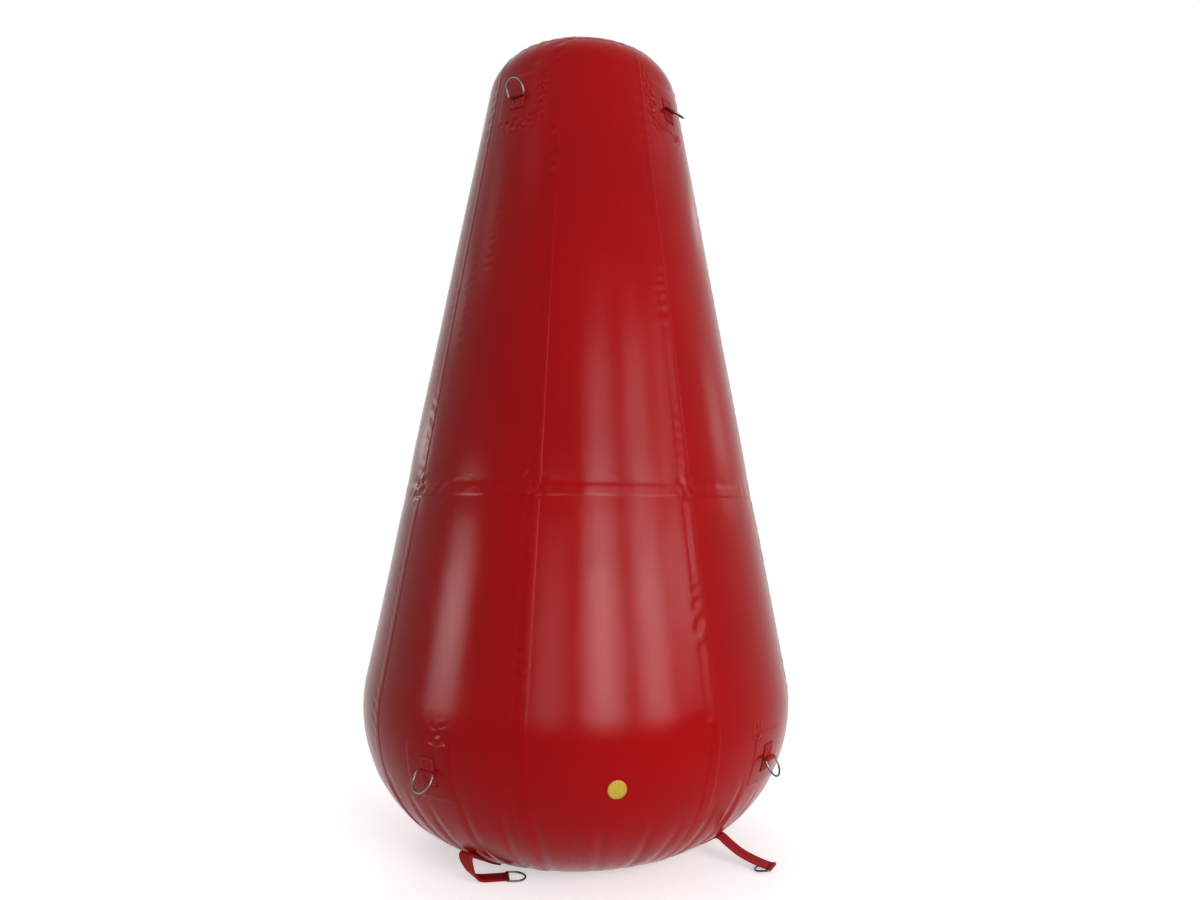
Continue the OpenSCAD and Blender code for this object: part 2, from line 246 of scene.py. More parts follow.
@dataclass
class Sheet:
    """Grid of points that becomes one mesh piece."""

    points: Array
    uv: Array
    weld: Array | None = None
    closed_rows: bool = False
    closed_columns: bool = False
    pole: Array | None = None
    capped: bool = False

    def quads(self) -> Array:
        """Corner numbers of the grid's quads, with the first row or column joined to the last where closed.

        Returns:
            Four point numbers to a row.
        """
        rows, columns = self.points.shape[:2]
        index = np.arange(rows * columns).reshape(rows, columns)
        if self.closed_rows:
            index = np.concatenate([index, index[:1]], axis=0)
        if self.closed_columns:
            index = np.concatenate([index, index[:, :1]], axis=1)
        corners = [index[:-1, :-1], index[:-1, 1:], index[1:, 1:], index[1:, :-1]]
        return np.stack(corners, axis=-1).reshape(-1, 4)

    def loops(self) -> tuple[Array, Array]:
        """Faces of the grid, of the fan round its pole and of its two caps.

        Returns:
            Corner numbers of all faces in a row, and where each face starts.
        """
        rows, columns = self.points.shape[:2]
        quads = self.quads()
        corners, sizes = [quads.ravel()], [np.full(len(quads), 4)]
        ring = np.arange(columns)
        if self.pole is not None:
            centre = np.full(columns, rows * columns)
            corners.append(np.stack([centre, np.roll(ring, -1), ring], axis=-1).ravel())
            sizes.append(np.full(columns, 3))
        if self.capped:
            corners += [ring[::-1], (rows - 1) * columns + ring]
            sizes.append(np.array([columns, columns]))
        sizes = np.concatenate(sizes)
        return np.concatenate(corners), np.concatenate([[0], np.cumsum(sizes)[:-1]])

    def piece(self, name: str, flip: bool = False) -> bpy.types.Object:
        """Make the mesh object of this grid at the origin.

        Args:
            name: name of the piece.
            flip: True if the grid's corners run the wrong way round for outward faces.

        Returns:
            The new object, smooth, with its UV map and its weld attribute.
        """
        points = self.points.reshape(-1, 3)
        uv = self.uv.reshape(-1, 2)
        weld = np.zeros(len(points)) if self.weld is None else self.weld.ravel()
        if self.pole is not None:
            points = np.concatenate([points, self.pole[None]])
            uv = np.concatenate([uv, np.zeros((1, 2))])
            weld = np.append(weld, 0.0)
        corners, starts = self.loops()
        piece = new_piece(name, points, corners, starts, uv, weld)
        if flip:
            piece.data.flip_normals()
        return piece


def strip_section(width: float, thick: float) -> tuple[Array, Array]:
    """Outline of a webbing strip: a flat bar whose edges are half circles.

    Args:
        width: full width of the strip.
        thick: its thickness.

    Returns:
        Offsets across the strip and through it, anticlockwise.
    """
    turn = np.radians(np.linspace(-90.0, 90.0, STRIP_EDGE_POINTS))
    flat = np.linspace(-1.0, 1.0, STRIP_FACE_STEPS + 1)[1:-1] * (width - thick) / 2
    side = (width - thick) / 2 + np.cos(turn) * thick / 2
    rise = np.sin(turn) * thick / 2
    face = np.full(len(flat), thick / 2)
    across = np.concatenate([side, flat[::-1], -side[::-1], flat])
    through = np.concatenate([rise, face, rise[::-1], -face])
    return across, through


def ribbon(path: Array, wide: Array, width: float, thick: float) -> Sheet:
    """Webbing strip: the strip's outline carried along a path.

    Each point is the path's point plus an offset along the width's direction plus an offset along the
    direction square to both the path and the width.

    Args:
        path: middle line, one row per point.
        wide: direction of the width at each point.
        width: width of the strip.
        thick: thickness of the strip.

    Returns:
        The closed strip as a grid.
    """
    _, wide, rise = path_frame(path, wide)
    across, through = strip_section(width, thick)
    points = path[:, None] + across[None, :, None] * wide[:, None] + through[None, :, None] * rise[:, None]
    along = np.broadcast_to(path_lengths(path)[:, None], points.shape[:2])
    uv = np.stack([np.broadcast_to(across, points.shape[:2]), along], axis=-1)
    return Sheet(points, uv, closed_columns=True, capped=True)


@dataclass
class StitchRow:
    """Row of stitches: short round threads that arch from one hole to the next.

    A stitch is a circle carried from its start to its end, lifted by a half sine and thinned at both ends.
    Arch and sink are shares of the thread's width, and tip is the least square of its share of width.
    """

    starts: Array
    ends: Array
    rise: Array
    thread: float
    rings: int = 5
    sides: int = 5
    arch: float = 0.45
    sink: float = 0.20
    tip: float = 0.02

    def points(self) -> Array:
        """Points of all stitches.

        Returns:
            Points by stitch, by circle along the stitch and by place round the circle.
        """
        share = np.linspace(0.0, 1.0, self.rings)
        turn = np.linspace(0.0, 2.0 * np.pi, self.sides + 1)[:-1]
        side = np.cross(unit(self.ends - self.starts), self.rise)
        middle = self.starts[:, None] + share[None, :, None] * (self.ends - self.starts)[:, None]
        lift = (self.arch * np.sin(np.pi * share) - self.sink) * self.thread
        middle = middle + lift[None, :, None] * self.rise[:, None]
        radius = self.thread / 2 * np.sqrt(np.clip(1.0 - np.square(2.0 * share - 1.0), self.tip, 1.0))
        circle = np.cos(turn)[:, None, None] * side[None] + np.sin(turn)[:, None, None] * self.rise[None]
        return middle[:, :, None] + radius[None, :, None, None] * np.moveaxis(circle, 0, 1)[:, None]

    def piece(self, name: str) -> bpy.types.Object:
        """Make one mesh object of all stitches, each a closed tube of its own.

        Args:
            name: name of the piece.

        Returns:
            The new object.
        """
        points = self.points()
        index = np.arange(points[..., 0].size).reshape(points.shape[:3])
        ahead = np.roll(index, -1, axis=2)
        quads = np.stack([index[:, :-1], ahead[:, :-1], ahead[:, 1:], index[:, 1:]], axis=-1).reshape(-1, 4)
        caps = np.concatenate([index[:, 0, ::-1], index[:, -1]])
        corners = np.concatenate([quads.ravel(), caps.ravel()])
        sizes = np.concatenate([np.full(len(quads), 4), np.full(len(caps), self.sides)])
        starts = np.concatenate([[0], np.cumsum(sizes)[:-1]])
        points = points.reshape(-1, 3)
        return new_piece(name, points, corners, starts, np.zeros((len(points), 2)), np.zeros(len(points)))


# The body's form

@dataclass(frozen=True)
class Meridian:
    """Outer skin's meridian: flat foot, bottom arc, straight wall, shoulder arc and crown arc.

    Each stretch is tangent to the next.
    """

    body_d: float = 1.200
    body_h: float = 2.310
    base_arc_r: float = 0.390
    neck_d: float = 0.566
    shoulder_r: float = 0.130
    crown_r: float = 0.410

    @cached_property
    def foot_r(self) -> float:
        """Radius of the flat foot."""
        return self.body_d / 2 - self.base_arc_r

    @cached_property
    def crown(self) -> float:
        """Slope, in radians, where the shoulder meets the crown."""
        return float(np.arccos((self.neck_d / 2 - self.shoulder_r) / (self.crown_r - self.shoulder_r)))

    @cached_property
    def shoulder_c(self) -> tuple[float, float]:
        """Radius and height of the shoulder arc's middle."""
        rise = (self.crown_r - self.shoulder_r) * np.sin(self.crown)
        return self.neck_d / 2 - self.shoulder_r, self.body_h - self.crown_r + float(rise)

    @cached_property
    def wall(self) -> float:
        """Slope of the straight wall, which is the common tangent of the bottom and shoulder arcs.

        Returns:
            The slope in radians.
        """
        run, rise = self.shoulder_c[0] - self.foot_r, self.shoulder_c[1] - self.base_arc_r
        share = (self.base_arc_r - self.shoulder_r) / np.hypot(run, rise)
        return float(np.arctan2(rise, run) - np.arccos(share))

    @cached_property
    def wall_foot(self) -> tuple[float, float]:
        """Radius and height where the bottom arc meets the wall."""
        return (self.foot_r + self.base_arc_r * float(np.cos(self.wall)),
                self.base_arc_r * (1.0 + float(np.sin(self.wall))))

    @cached_property
    def knots(self) -> Array:
        """Ends of the stretches.

        Returns:
            Lengths from the foot's middle at which one stretch meets the next, and the length at the top.
        """
        top = self.shoulder_c[1] + self.shoulder_r * np.sin(self.wall)
        steps = [self.foot_r, self.base_arc_r * (self.wall + np.pi / 2),
                 (top - self.wall_foot[1]) / np.cos(self.wall),
                 self.shoulder_r * (self.crown - self.wall), self.crown_r * (np.pi / 2 - self.crown)]
        return np.cumsum(steps)

    def at(self, s: Array) -> tuple[Array, Array, Array]:
        """Place on the meridian.

        On an arc the slope grows by the length over the arc's radius, and the point lies at that slope from
        the arc's middle. On the wall the radius falls and the height grows along the wall's slope.

        Args:
            s: lengths from the foot's middle.

        Returns:
            Radius, height and slope in radians at each length.
        """
        foot, arc, wall, shoulder, _ = self.knots
        low = -np.pi / 2 + (s - foot) / self.base_arc_r
        mid = self.wall + (s - wall) / self.shoulder_r
        high = self.crown + (s - shoulder) / self.crown_r
        where = [s < foot, s < arc, s < wall, s < shoulder]
        slope = np.select(where, [np.full_like(s, -np.pi / 2), low, np.full_like(s, self.wall), mid], high)
        radius = np.select(where, [s, self.foot_r + self.base_arc_r * np.cos(low),
                                   self.wall_foot[0] - (s - arc) * np.sin(self.wall),
                                   self.shoulder_c[0] + self.shoulder_r * np.cos(mid)],
                           self.crown_r * np.cos(high))
        height = np.select(where, [np.zeros_like(s), self.base_arc_r * (1.0 + np.sin(low)),
                                   self.wall_foot[1] + (s - arc) * np.cos(self.wall),
                                   self.shoulder_c[1] + self.shoulder_r * np.sin(mid)],
                           self.body_h - self.crown_r + self.crown_r * np.sin(high))
        return radius, height, slope

    def at_slope(self, degrees: float) -> float:
        """Length at which the bottom arc has a slope."""
        return float(self.knots[0] + self.base_arc_r * (np.radians(degrees) + np.pi / 2))

    def at_height(self, z: float) -> float:
        """Length at which the straight wall has a height."""
        return float(self.knots[1] + (z - self.wall_foot[1]) / np.cos(self.wall))


MERIDIAN = Meridian()


class Tier(Enum):
    """The two tiers of gores."""

    LOWER = "lower"
    UPPER = "upper"


class Lay(Enum):
    """How a strap tab lies: hanging points from the root's height, then points along the floor.

    A point is the way past the root's radius, the way sideways, the height, all three in millimetres, and
    the turn of the width.
    """

    KICKED_OUT = (((8, 0, 0, 0), (15, 0, 0, 0), (24, 0, -5, 0), (36, 0, -13.5, 0)),
                  ((68, 0, 30, 0), (101, 0, 19, 0), (128, 0, 12.8, 0), (150, 0, 9.5, 0)))
    TUCKED_IN = (((16, 0, 7, 0), (25, 0, 9, 0), (29, 0, 0, 2), (22, 0, -19, 8)),
                 ((10, 2, 21, 18), (-4, 5, 7, 28), (-20, 12, 1, 40), (-36, 26, 0, 45), (-50, 40, 0, 45),
                  (-62, 52, 0, 45)))

    def points(self, seat_r: float, seat_z: float, floor_z: float) -> tuple[Array, Array]:
        """Free points of the tab.

        Args:
            seat_r: radius of the root's end.
            seat_z: height of the root's end.
            floor_z: height of a tab that lies on the floor.

        Returns:
            Points as outward, sideways and up, and the width's turn at each in degrees.
        """
        hang, lie = (np.array(rows, float).reshape(-1, 4) for rows in self.value)
        hung = hang[:, :3] / 1000 + [seat_r, 0, seat_z]
        laid = lie[:, :3] / 1000 + [seat_r, 0, floor_z]
        return np.concatenate([hung, laid]), np.concatenate([hang[:, 3], lie[:, 3]])


@dataclass(frozen=True)
class Station:
    """One of the four places round the body that carry rings."""

    number: int
    gore_offset: float
    lay: Lay
    strap_skew: float = 0.0

    @property
    def az(self) -> float:
        """Azimuth of the station."""
        return SEAM_AZ + self.gore_offset * GORE_DEG

    @property
    def strap_az(self) -> float:
        """Azimuth of the station's strap tab."""
        return self.az + self.strap_skew


STATIONS = (Station(1, -0.5, Lay.TUCKED_IN), Station(2, 1.5, Lay.KICKED_OUT, 6.0),
            Station(3, 3.5, Lay.KICKED_OUT), Station(4, 5.5, Lay.KICKED_OUT))


@dataclass(frozen=True)
class Cluster:
    """Field of small blisters by a patch: its middle from the patch's middle, and its reach both ways."""

    station: int
    tier: Tier
    side: float
    up: float
    wide: float
    tall: float


CLUSTERS = (
    Cluster(1, Tier.UPPER, 0.074, 0.010, 0.013, 0.062), Cluster(1, Tier.UPPER, 0.010, -0.082, 0.060, 0.020),
    Cluster(2, Tier.UPPER, -0.074, 0.000, 0.014, 0.070), Cluster(2, Tier.UPPER, 0.030, -0.080, 0.030, 0.016),
    Cluster(3, Tier.UPPER, 0.074, -0.020, 0.013, 0.050), Cluster(4, Tier.UPPER, -0.074, 0.020, 0.013, 0.060),
    Cluster(1, Tier.LOWER, 0.034, 0.086, 0.026, 0.026), Cluster(2, Tier.LOWER, -0.060, 0.070, 0.020, 0.022),
    Cluster(3, Tier.LOWER, 0.060, 0.074, 0.024, 0.020), Cluster(4, Tier.LOWER, -0.050, 0.080, 0.024, 0.020),
    Cluster(2, Tier.UPPER, -0.050, 0.235, 0.030, 0.020), Cluster(1, Tier.UPPER, 0.085, 0.235, 0.022, 0.012),
)


@dataclass(frozen=True)
class Landmarks:
    """Lengths along the meridian at the seams and at the ring seats."""

    girth_z: float = 0.980
    base_seam_slope: float = -75.0
    upper_ring_drop: float = 0.102
    lower_ring_slope: float = -12.3

    @cached_property
    def girth_s(self) -> float:
        """Length at the girth seam."""
        return MERIDIAN.at_height(self.girth_z)

    @cached_property
    def base_seam_s(self) -> float:
        """Length at the base panel's seam."""
        return MERIDIAN.at_slope(self.base_seam_slope)

    @cached_property
    def crown_seam_s(self) -> float:
        """Length at the crown panel's seam."""
        return float(MERIDIAN.knots[3])

    @cached_property
    def upper_seat_s(self) -> float:
        """Length at the upper rings."""
        return float(MERIDIAN.knots[2] - self.upper_ring_drop / np.cos(MERIDIAN.wall))

    @cached_property
    def lower_seat_s(self) -> float:
        """Length at the lower rings."""
        return MERIDIAN.at_slope(self.lower_ring_slope)

    def seat_s(self, tier: Tier) -> float:
        """Length at the rings of a tier."""
        return self.upper_seat_s if tier is Tier.UPPER else self.lower_seat_s


MARKS = Landmarks()


# Puckers of the inflated skin

@dataclass(frozen=True)
class Places:
    """Places on the skin: azimuths in degrees, lengths along the meridian and radii of the plain skin."""

    az: Array
    s: Array
    radius: Array

    @cached_property
    def seam(self) -> Array:
        """Number of the nearest upright seam."""
        return np.rint((self.az - SEAM_AZ) / GORE_DEG)

    @cached_property
    def past_seam(self) -> Array:
        """Way sideways past the nearest upright seam."""
        return self.radius * np.radians(self.az - SEAM_AZ - self.seam * GORE_DEG)

    def past(self, az: float, bow: Array | float = 0.0) -> Array:
        """Way sideways past a line at an azimuth, which may bow by further degrees."""
        return self.radius * np.radians(wrapped(self.az - az - bow))


class Pucker(ABC):
    """One kind of pucker, as a height over the plain skin."""

    @abstractmethod
    def height(self, at: Places) -> Array:
        """Height of the pucker.

        Args:
            at: places on the skin.

        Returns:
            Height over the plain skin at each place.
        """


@dataclass(frozen=True)
class SeamBeads(Pucker):
    """Upright seams: a narrow groove with beads along it."""

    pitch: float = 0.036
    high: float = 0.0013
    reach: float = 0.015
    lean: float = 0.35
    lean_turn: float = 5.0
    groove_depth: float = 0.0009
    groove_reach: float = 0.007
    calm: Waves = Waves(pitch=0.42, seed=3)
    calm_turn: float = 1.7
    calm_range: tuple[float, float] = (-0.45, 0.55)
    drift: Waves = Waves(pitch=0.30, seed=5)
    drift_turn: float = 2.6
    seam_turn: float = 2.4
    tier_turn: float = 1.1
    top_radii: tuple[float, float] = (0.20, 0.26)
    foot_slopes: tuple[float, float] = (-20.0, 6.0)

    def height(self, at: Places) -> Array:
        """Height of groove and beads.

        The beads are a cosine along the seam whose pitch wanders, times a bell across the seam, times a slow
        pattern that leaves some stretches calm. The groove is a bell across the seam.

        Args:
            at: places on the skin.

        Returns:
            Height over the plain skin at each place.
        """
        own = (at.seam % GORES) * self.seam_turn + np.where(at.s > MARKS.girth_s, self.tier_turn, 0.0)
        calm = ramp(self.calm.along(at.s, own * self.calm_turn), *self.calm_range)
        drift = self.drift_turn * self.drift.along(at.s, own)
        lean = self.lean * at.past_seam * np.sign(np.sin(own * self.lean_turn))
        beads = np.cos(2.0 * np.pi * (at.s + lean) / self.pitch + own + drift)
        ends = ramp(at.radius, *self.top_radii) * ramp(at.s, *map(MERIDIAN.at_slope, self.foot_slopes))
        bead = self.high * calm * beads * bell(at.past_seam, self.reach)
        return ends * (bead - self.groove_depth * bell(at.past_seam, self.groove_reach))


@dataclass(frozen=True)
class BeadLine:
    """Line of beads that belongs to no seam: its azimuth, its lowest and highest height, and its drift."""

    az: float
    low_z: float
    high_z: float
    drift: Waves


@dataclass(frozen=True)
class StrayBeads(Pucker):
    """Two short lines of fine beads on the left of the upper tier."""

    lines: tuple[BeadLine, ...] = (BeadLine(-39.0, 1.52, 1.84, Waves(pitch=0.16, seed=21)),
                                   BeadLine(-48.0, 1.32, 1.66, Waves(pitch=0.16, seed=22)))
    pitch: float = 0.027
    high: float = 0.0008
    reach: float = 0.011
    fade: float = 0.06
    drift_turn: float = 1.5

    def height(self, at: Places) -> Array:
        """Height of the beads: a cosine along the line that drifts, times a bell across, faded at both ends.

        Args:
            at: places on the skin.

        Returns:
            Height over the plain skin at each place.
        """
        total = np.zeros_like(at.s)
        for line in self.lines:
            first, last = MERIDIAN.at_height(line.low_z), MERIDIAN.at_height(line.high_z)
            window = ramp(at.s, first, first + self.fade) * ramp(-at.s, -last, self.fade - last)
            beads = np.cos(2.0 * np.pi * at.s / self.pitch + self.drift_turn * line.drift.along(at.s))
            total += self.high * window * beads * bell(at.past(line.az), self.reach)
        return total


@dataclass(frozen=True)
class GirthSeam(Pucker):
    """Girth seam: a wide dip, a fine groove above the lap, soft waves, and creased knots at the crossings."""

    wave: Waves = Waves(pitch=0.055, seed=7)
    wave_high: float = 0.0005
    wave_reach: float = 0.022
    dip_depth: float = 0.0022
    dip_reach: float = 0.060
    groove_depth: float = 0.0004
    groove_up: float = 0.012
    groove_reach: float = 0.010
    knot: Waves = Waves(pitch=0.030, seed=9)
    knot_high: float = 0.0019
    knot_wide: float = 0.030
    knot_tall: float = 0.032

    def height(self, at: Places) -> Array:
        """Height of the seam: a bell up the skin for each part, with irregular waves under two of them.

        Args:
            at: places on the skin.

        Returns:
            Height over the plain skin at each place.
        """
        up = at.s - MARKS.girth_s
        around = at.radius * np.radians(at.az)
        wave = self.wave_high * self.wave.along(around) * bell(up, self.wave_reach)
        dip = -self.dip_depth * bell(up, self.dip_reach)
        groove = self.groove_depth * bell(up - self.groove_up, self.groove_reach)
        creases = self.knot_high * self.knot.across(around, up)
        return wave + (dip - groove) + creases * bell(at.past_seam, self.knot_wide) * bell(up, self.knot_tall)


@dataclass(frozen=True)
class Gathers(Pucker):
    """Gathers at the bottom edge: sharp creases that run down the arc, with full cloth between them."""

    front: tuple[float, ...] = (-27.5, -17.6, -9.0, 0.5, 6.6, 18.6, 26.0, 36.1)
    gap: float = 9.6
    wander: float = 0.22
    wander_seed: int = 11
    crease_seed: int = 17
    depth: float = 0.0030
    reach: float = 0.0085
    full_share: float = 0.35
    full_off: float = 0.024
    full_reach: float = 0.014
    starts: tuple[float, float] = (-24.0, -14.0)
    depths: tuple[float, float] = (0.55, 1.0)
    bows: tuple[float, float] = (-0.7, 0.7)
    bow_turns: float = 4.0
    grow: float = 16.0
    end_slopes: tuple[float, float] = (-76.0, -50.0)

    @cached_property
    def azimuths(self) -> Array:
        """Azimuths of the creases: those that show in front, then uneven steps round the back.

        Returns:
            The azimuths in degrees.
        """
        back = 360.0 - self.front[-1] + self.front[0]
        count = round(back / self.gap)
        step = back / count
        rng = np.random.default_rng(self.wander_seed)
        wander = rng.uniform(-self.wander, self.wander, count - 1) * step
        return np.concatenate([self.front, self.front[-1] + step * np.arange(1, count) + wander])

    def height(self, at: Places) -> Array:
        """Height of the gathers.

        Each crease is a bell across less a lower bell on either side, times a window down the arc that starts
        at its own slope.

        Args:
            at: places on the skin.

        Returns:
            Height over the plain skin at each place.
        """
        slope = np.degrees((at.s - MERIDIAN.knots[0]) / MERIDIAN.base_arc_r) - 90.0
        total = np.zeros_like(at.s)
        rng = np.random.default_rng(self.crease_seed)
        for az in self.azimuths:
            start, share, bow = rng.uniform(*self.starts), rng.uniform(*self.depths), rng.uniform(*self.bows)
            across = at.past(az, bow * np.sin(np.radians(slope) * self.bow_turns))
            window = ramp(-slope, -start, self.grow - start) * ramp(slope, *self.end_slopes)
            full = self.full_share * bell(np.abs(across) - self.full_off, self.full_reach)
            total -= self.depth * share * window * (bell(across, self.reach) - full)
        return total


@dataclass(frozen=True)
class CrownCreases(Pucker):
    """Fine creases across the crown's seam."""

    crease: Waves = Waves(pitch=0.024, seed=13)
    calm: Waves = Waves(pitch=0.2, seed=14)
    high: float = 0.0011
    seam_r: float = 0.20
    drop: float = 0.02
    reach: float = 0.030
    pole_radii: tuple[float, float] = (0.05, 0.12)

    def height(self, at: Places) -> Array:
        """Height of the creases: waves round the body under a bell across the seam.

        Args:
            at: places on the skin.

        Returns:
            Height over the plain skin at each place.
        """
        around = np.radians(at.az) * self.seam_r
        waves = self.crease.along(around) * (0.5 + 0.5 * self.calm.along(around))
        up = at.s - MARKS.crown_seam_s + self.drop
        return self.high * waves * bell(up, self.reach) * ramp(at.radius, *self.pole_radii)


@dataclass(frozen=True)
class Blisters(Pucker):
    """Fields of small blisters by the patches."""

    high: float = 0.0026
    pitch: float = 0.018
    spread: float = 0.4
    first_seed: int = 60

    def height(self, at: Places) -> Array:
        """Height of the blisters: uneven waves under a bell both ways.

        Args:
            at: places on the skin.

        Returns:
            Height over the plain skin at each place.
        """
        total = np.zeros_like(at.s)
        for number, cluster in enumerate(CLUSTERS):
            side = at.past(STATIONS[cluster.station - 1].az) - cluster.side
            up = at.s - MARKS.seat_s(cluster.tier) - cluster.up
            cells = Waves(self.pitch, self.first_seed + number, spread=self.spread).across(side, up)
            total += self.high * cells * bell(side, cluster.wide) * bell(up, cluster.tall)
        return total


@dataclass(frozen=True)
class SlowSwell(Pucker):
    """Slow swell of the whole skin."""

    waves: Waves = Waves(pitch=0.62, seed=41, count=9)
    high: float = 0.0011
    body_r: float = 0.45
    climb_x: float = 0.8
    climb_y: float = -0.5
    foot_slopes: tuple[float, float] = (-70.0, -40.0)
    crown_fade: float = 0.2

    def height(self, at: Places) -> Array:
        """Height of the swell: broad waves round and up the body that fade out at the foot and the crown.

        Args:
            at: places on the skin.

        Returns:
            Height over the plain skin at each place.
        """
        around = np.radians(at.az)
        waves = self.waves.across(self.body_r * np.cos(around) + self.climb_x * at.s,
                                  self.body_r * np.sin(around) + self.climb_y * at.s)
        swell = self.high * waves * ramp(at.s, *map(MERIDIAN.at_slope, self.foot_slopes))
        return swell * ramp(-at.s, -MARKS.crown_seam_s, self.crown_fade - MARKS.crown_seam_s)


PUCKERS: tuple[Pucker, ...] = (SeamBeads(), StrayBeads(), GirthSeam(), Gathers(), CrownCreases(), Blisters(),
                               SlowSwell())


def on_skin(az: Array, s: Array, rise: Array | float) -> Array:
    """Points over the puckered skin: the meridian's point moved along its slope by the puckers and a rise.

    Args:
        az: azimuths in degrees.
        s: lengths along the meridian.
        rise: height of a layer over the skin.

    Returns:
        The points, one row of three numbers each.
    """
    az, s = np.broadcast_arrays(np.asarray(az, float), np.asarray(s, float))
    radius, height, slope = MERIDIAN.at(s)
    at = Places(az, s, radius)
    rise = np.asarray(rise) + sum(pucker.height(at) for pucker in PUCKERS)
    out = radius + rise * np.cos(slope)
    points = outward(az) * out[..., None]
    points[..., 2] = height + rise * np.sin(slope)
    return points


# Finishes

class Shading:
    """Node tree of one material round a Principled shader."""

    def __init__(self, name: str) -> None:
        """Make an empty material whose Principled shader feeds the output.

        Args:
            name: name of the material.
        """
        self.material = bpy.data.materials.new(name)
        self.material.use_nodes = True
        self.tree = self.material.node_tree
        self.tree.nodes.clear()
        self.shader = self.add("ShaderNodeBsdfPrincipled")
        self.add("ShaderNodeOutputMaterial", {"Surface": self.shader.outputs["BSDF"]})

    def add(self, kind: str, inputs: dict[str | int, object] | None = None,
            **settings: object) -> bpy.types.Node:
        """Add a node.

        Args:
            kind: Blender's name of the node.
            inputs: sockets to link, or values to set, by the input's name or number.
            settings: other properties of the node.

        Returns:
            The new node.
        """
        node = self.tree.nodes.new(kind)
        for key, value in settings.items():
            setattr(node, key, value)
        self.feed(node, inputs or {})
        return node

    def feed(self, node: bpy.types.Node, inputs: dict[str | int, object]) -> None:
        """Link sockets to, or set values on, a node's inputs.

        Args:
            node: the node.
            inputs: sockets or values, by the input's name or number.
        """
        for key, value in inputs.items():
            if isinstance(value, bpy.types.NodeSocket):
                self.tree.links.new(value, node.inputs[key])
            else:
                node.inputs[key].default_value = value

    def object_places(self) -> bpy.types.NodeSocket:
        """Places in the object's own frame."""
        return self.add("ShaderNodeTexCoord").outputs["Object"]

    def cut_places(self) -> bpy.types.NodeSocket:
        """Places on the cut cloth, in metres across and along."""
        return self.add("ShaderNodeUVMap", uv_map=UV_NAME).outputs["UV"]

    def noise(self, places: bpy.types.NodeSocket, scale: float, detail: float = 3.0) -> bpy.types.NodeSocket:
        """Noise from 0 to 1 with so many features to a metre."""
        inputs = {"Vector": places, "Scale": scale, "Detail": detail}
        return self.add("ShaderNodeTexNoise", inputs).outputs["Fac"]

    def ribs(self, places: bpy.types.NodeSocket, pitch: float, direction: str) -> bpy.types.NodeSocket:
        """Even ribs: a sine of the way along X or Y.

        Args:
            places: where to read the pattern.
            pitch: way from one rib to the next.
            direction: X or Y.

        Returns:
            Socket of the ribs, from 0 to 1.
        """
        scale = 2.0 * np.pi / (WAVE_TEXTURE_TURN * pitch)
        node = self.add("ShaderNodeTexWave", {"Vector": places, "Scale": scale}, bands_direction=direction)
        return node.outputs["Fac"]

    def spread(self, value: bpy.types.NodeSocket, low: float, high: float) -> bpy.types.NodeSocket:
        """Noise of its usual range spread over low to high."""
        usual = {"Value": value, "From Min": NOISE_LOW, "From Max": NOISE_HIGH}
        return self.add("ShaderNodeMapRange", {**usual, "To Min": low, "To Max": high}).outputs["Result"]

    def math(self, operation: str, *values: object) -> bpy.types.NodeSocket:
        """Result of a sum on one, two or three values."""
        return self.add("ShaderNodeMath", dict(enumerate(values)), operation=operation).outputs[0]

    def mix(self, share: bpy.types.NodeSocket, first: Colour, second: Colour) -> bpy.types.NodeSocket:
        """Colour between two colours.

        Args:
            share: socket of the second colour's share.
            first: colour at 0.
            second: colour at 1.

        Returns:
            Socket of the colour.
        """
        node = self.add("ShaderNodeMix", data_type="RGBA")
        self.feed(node, {MIX_SHARE: share, MIX_FIRST: (*first, 1.0), MIX_SECOND: (*second, 1.0)})
        return node.outputs[MIX_RESULT]

    def bump(self, height: bpy.types.NodeSocket, depth: float, strength: float) -> bpy.types.NodeSocket:
        """Normals bent by a height of so many metres."""
        inputs = {"Height": height, "Distance": depth, "Strength": strength}
        return self.add("ShaderNodeBump", inputs).outputs["Normal"]


@dataclass(frozen=True)
class Finish(ABC):
    """Look of one cloth, metal or plastic: a colour that drifts to a shade, and the slot that it fills."""

    name: str
    slot: str
    colour: Colour
    shade: Colour

    @abstractmethod
    def material(self) -> bpy.types.Material:
        """Build the material.

        Returns:
            The new material.
        """


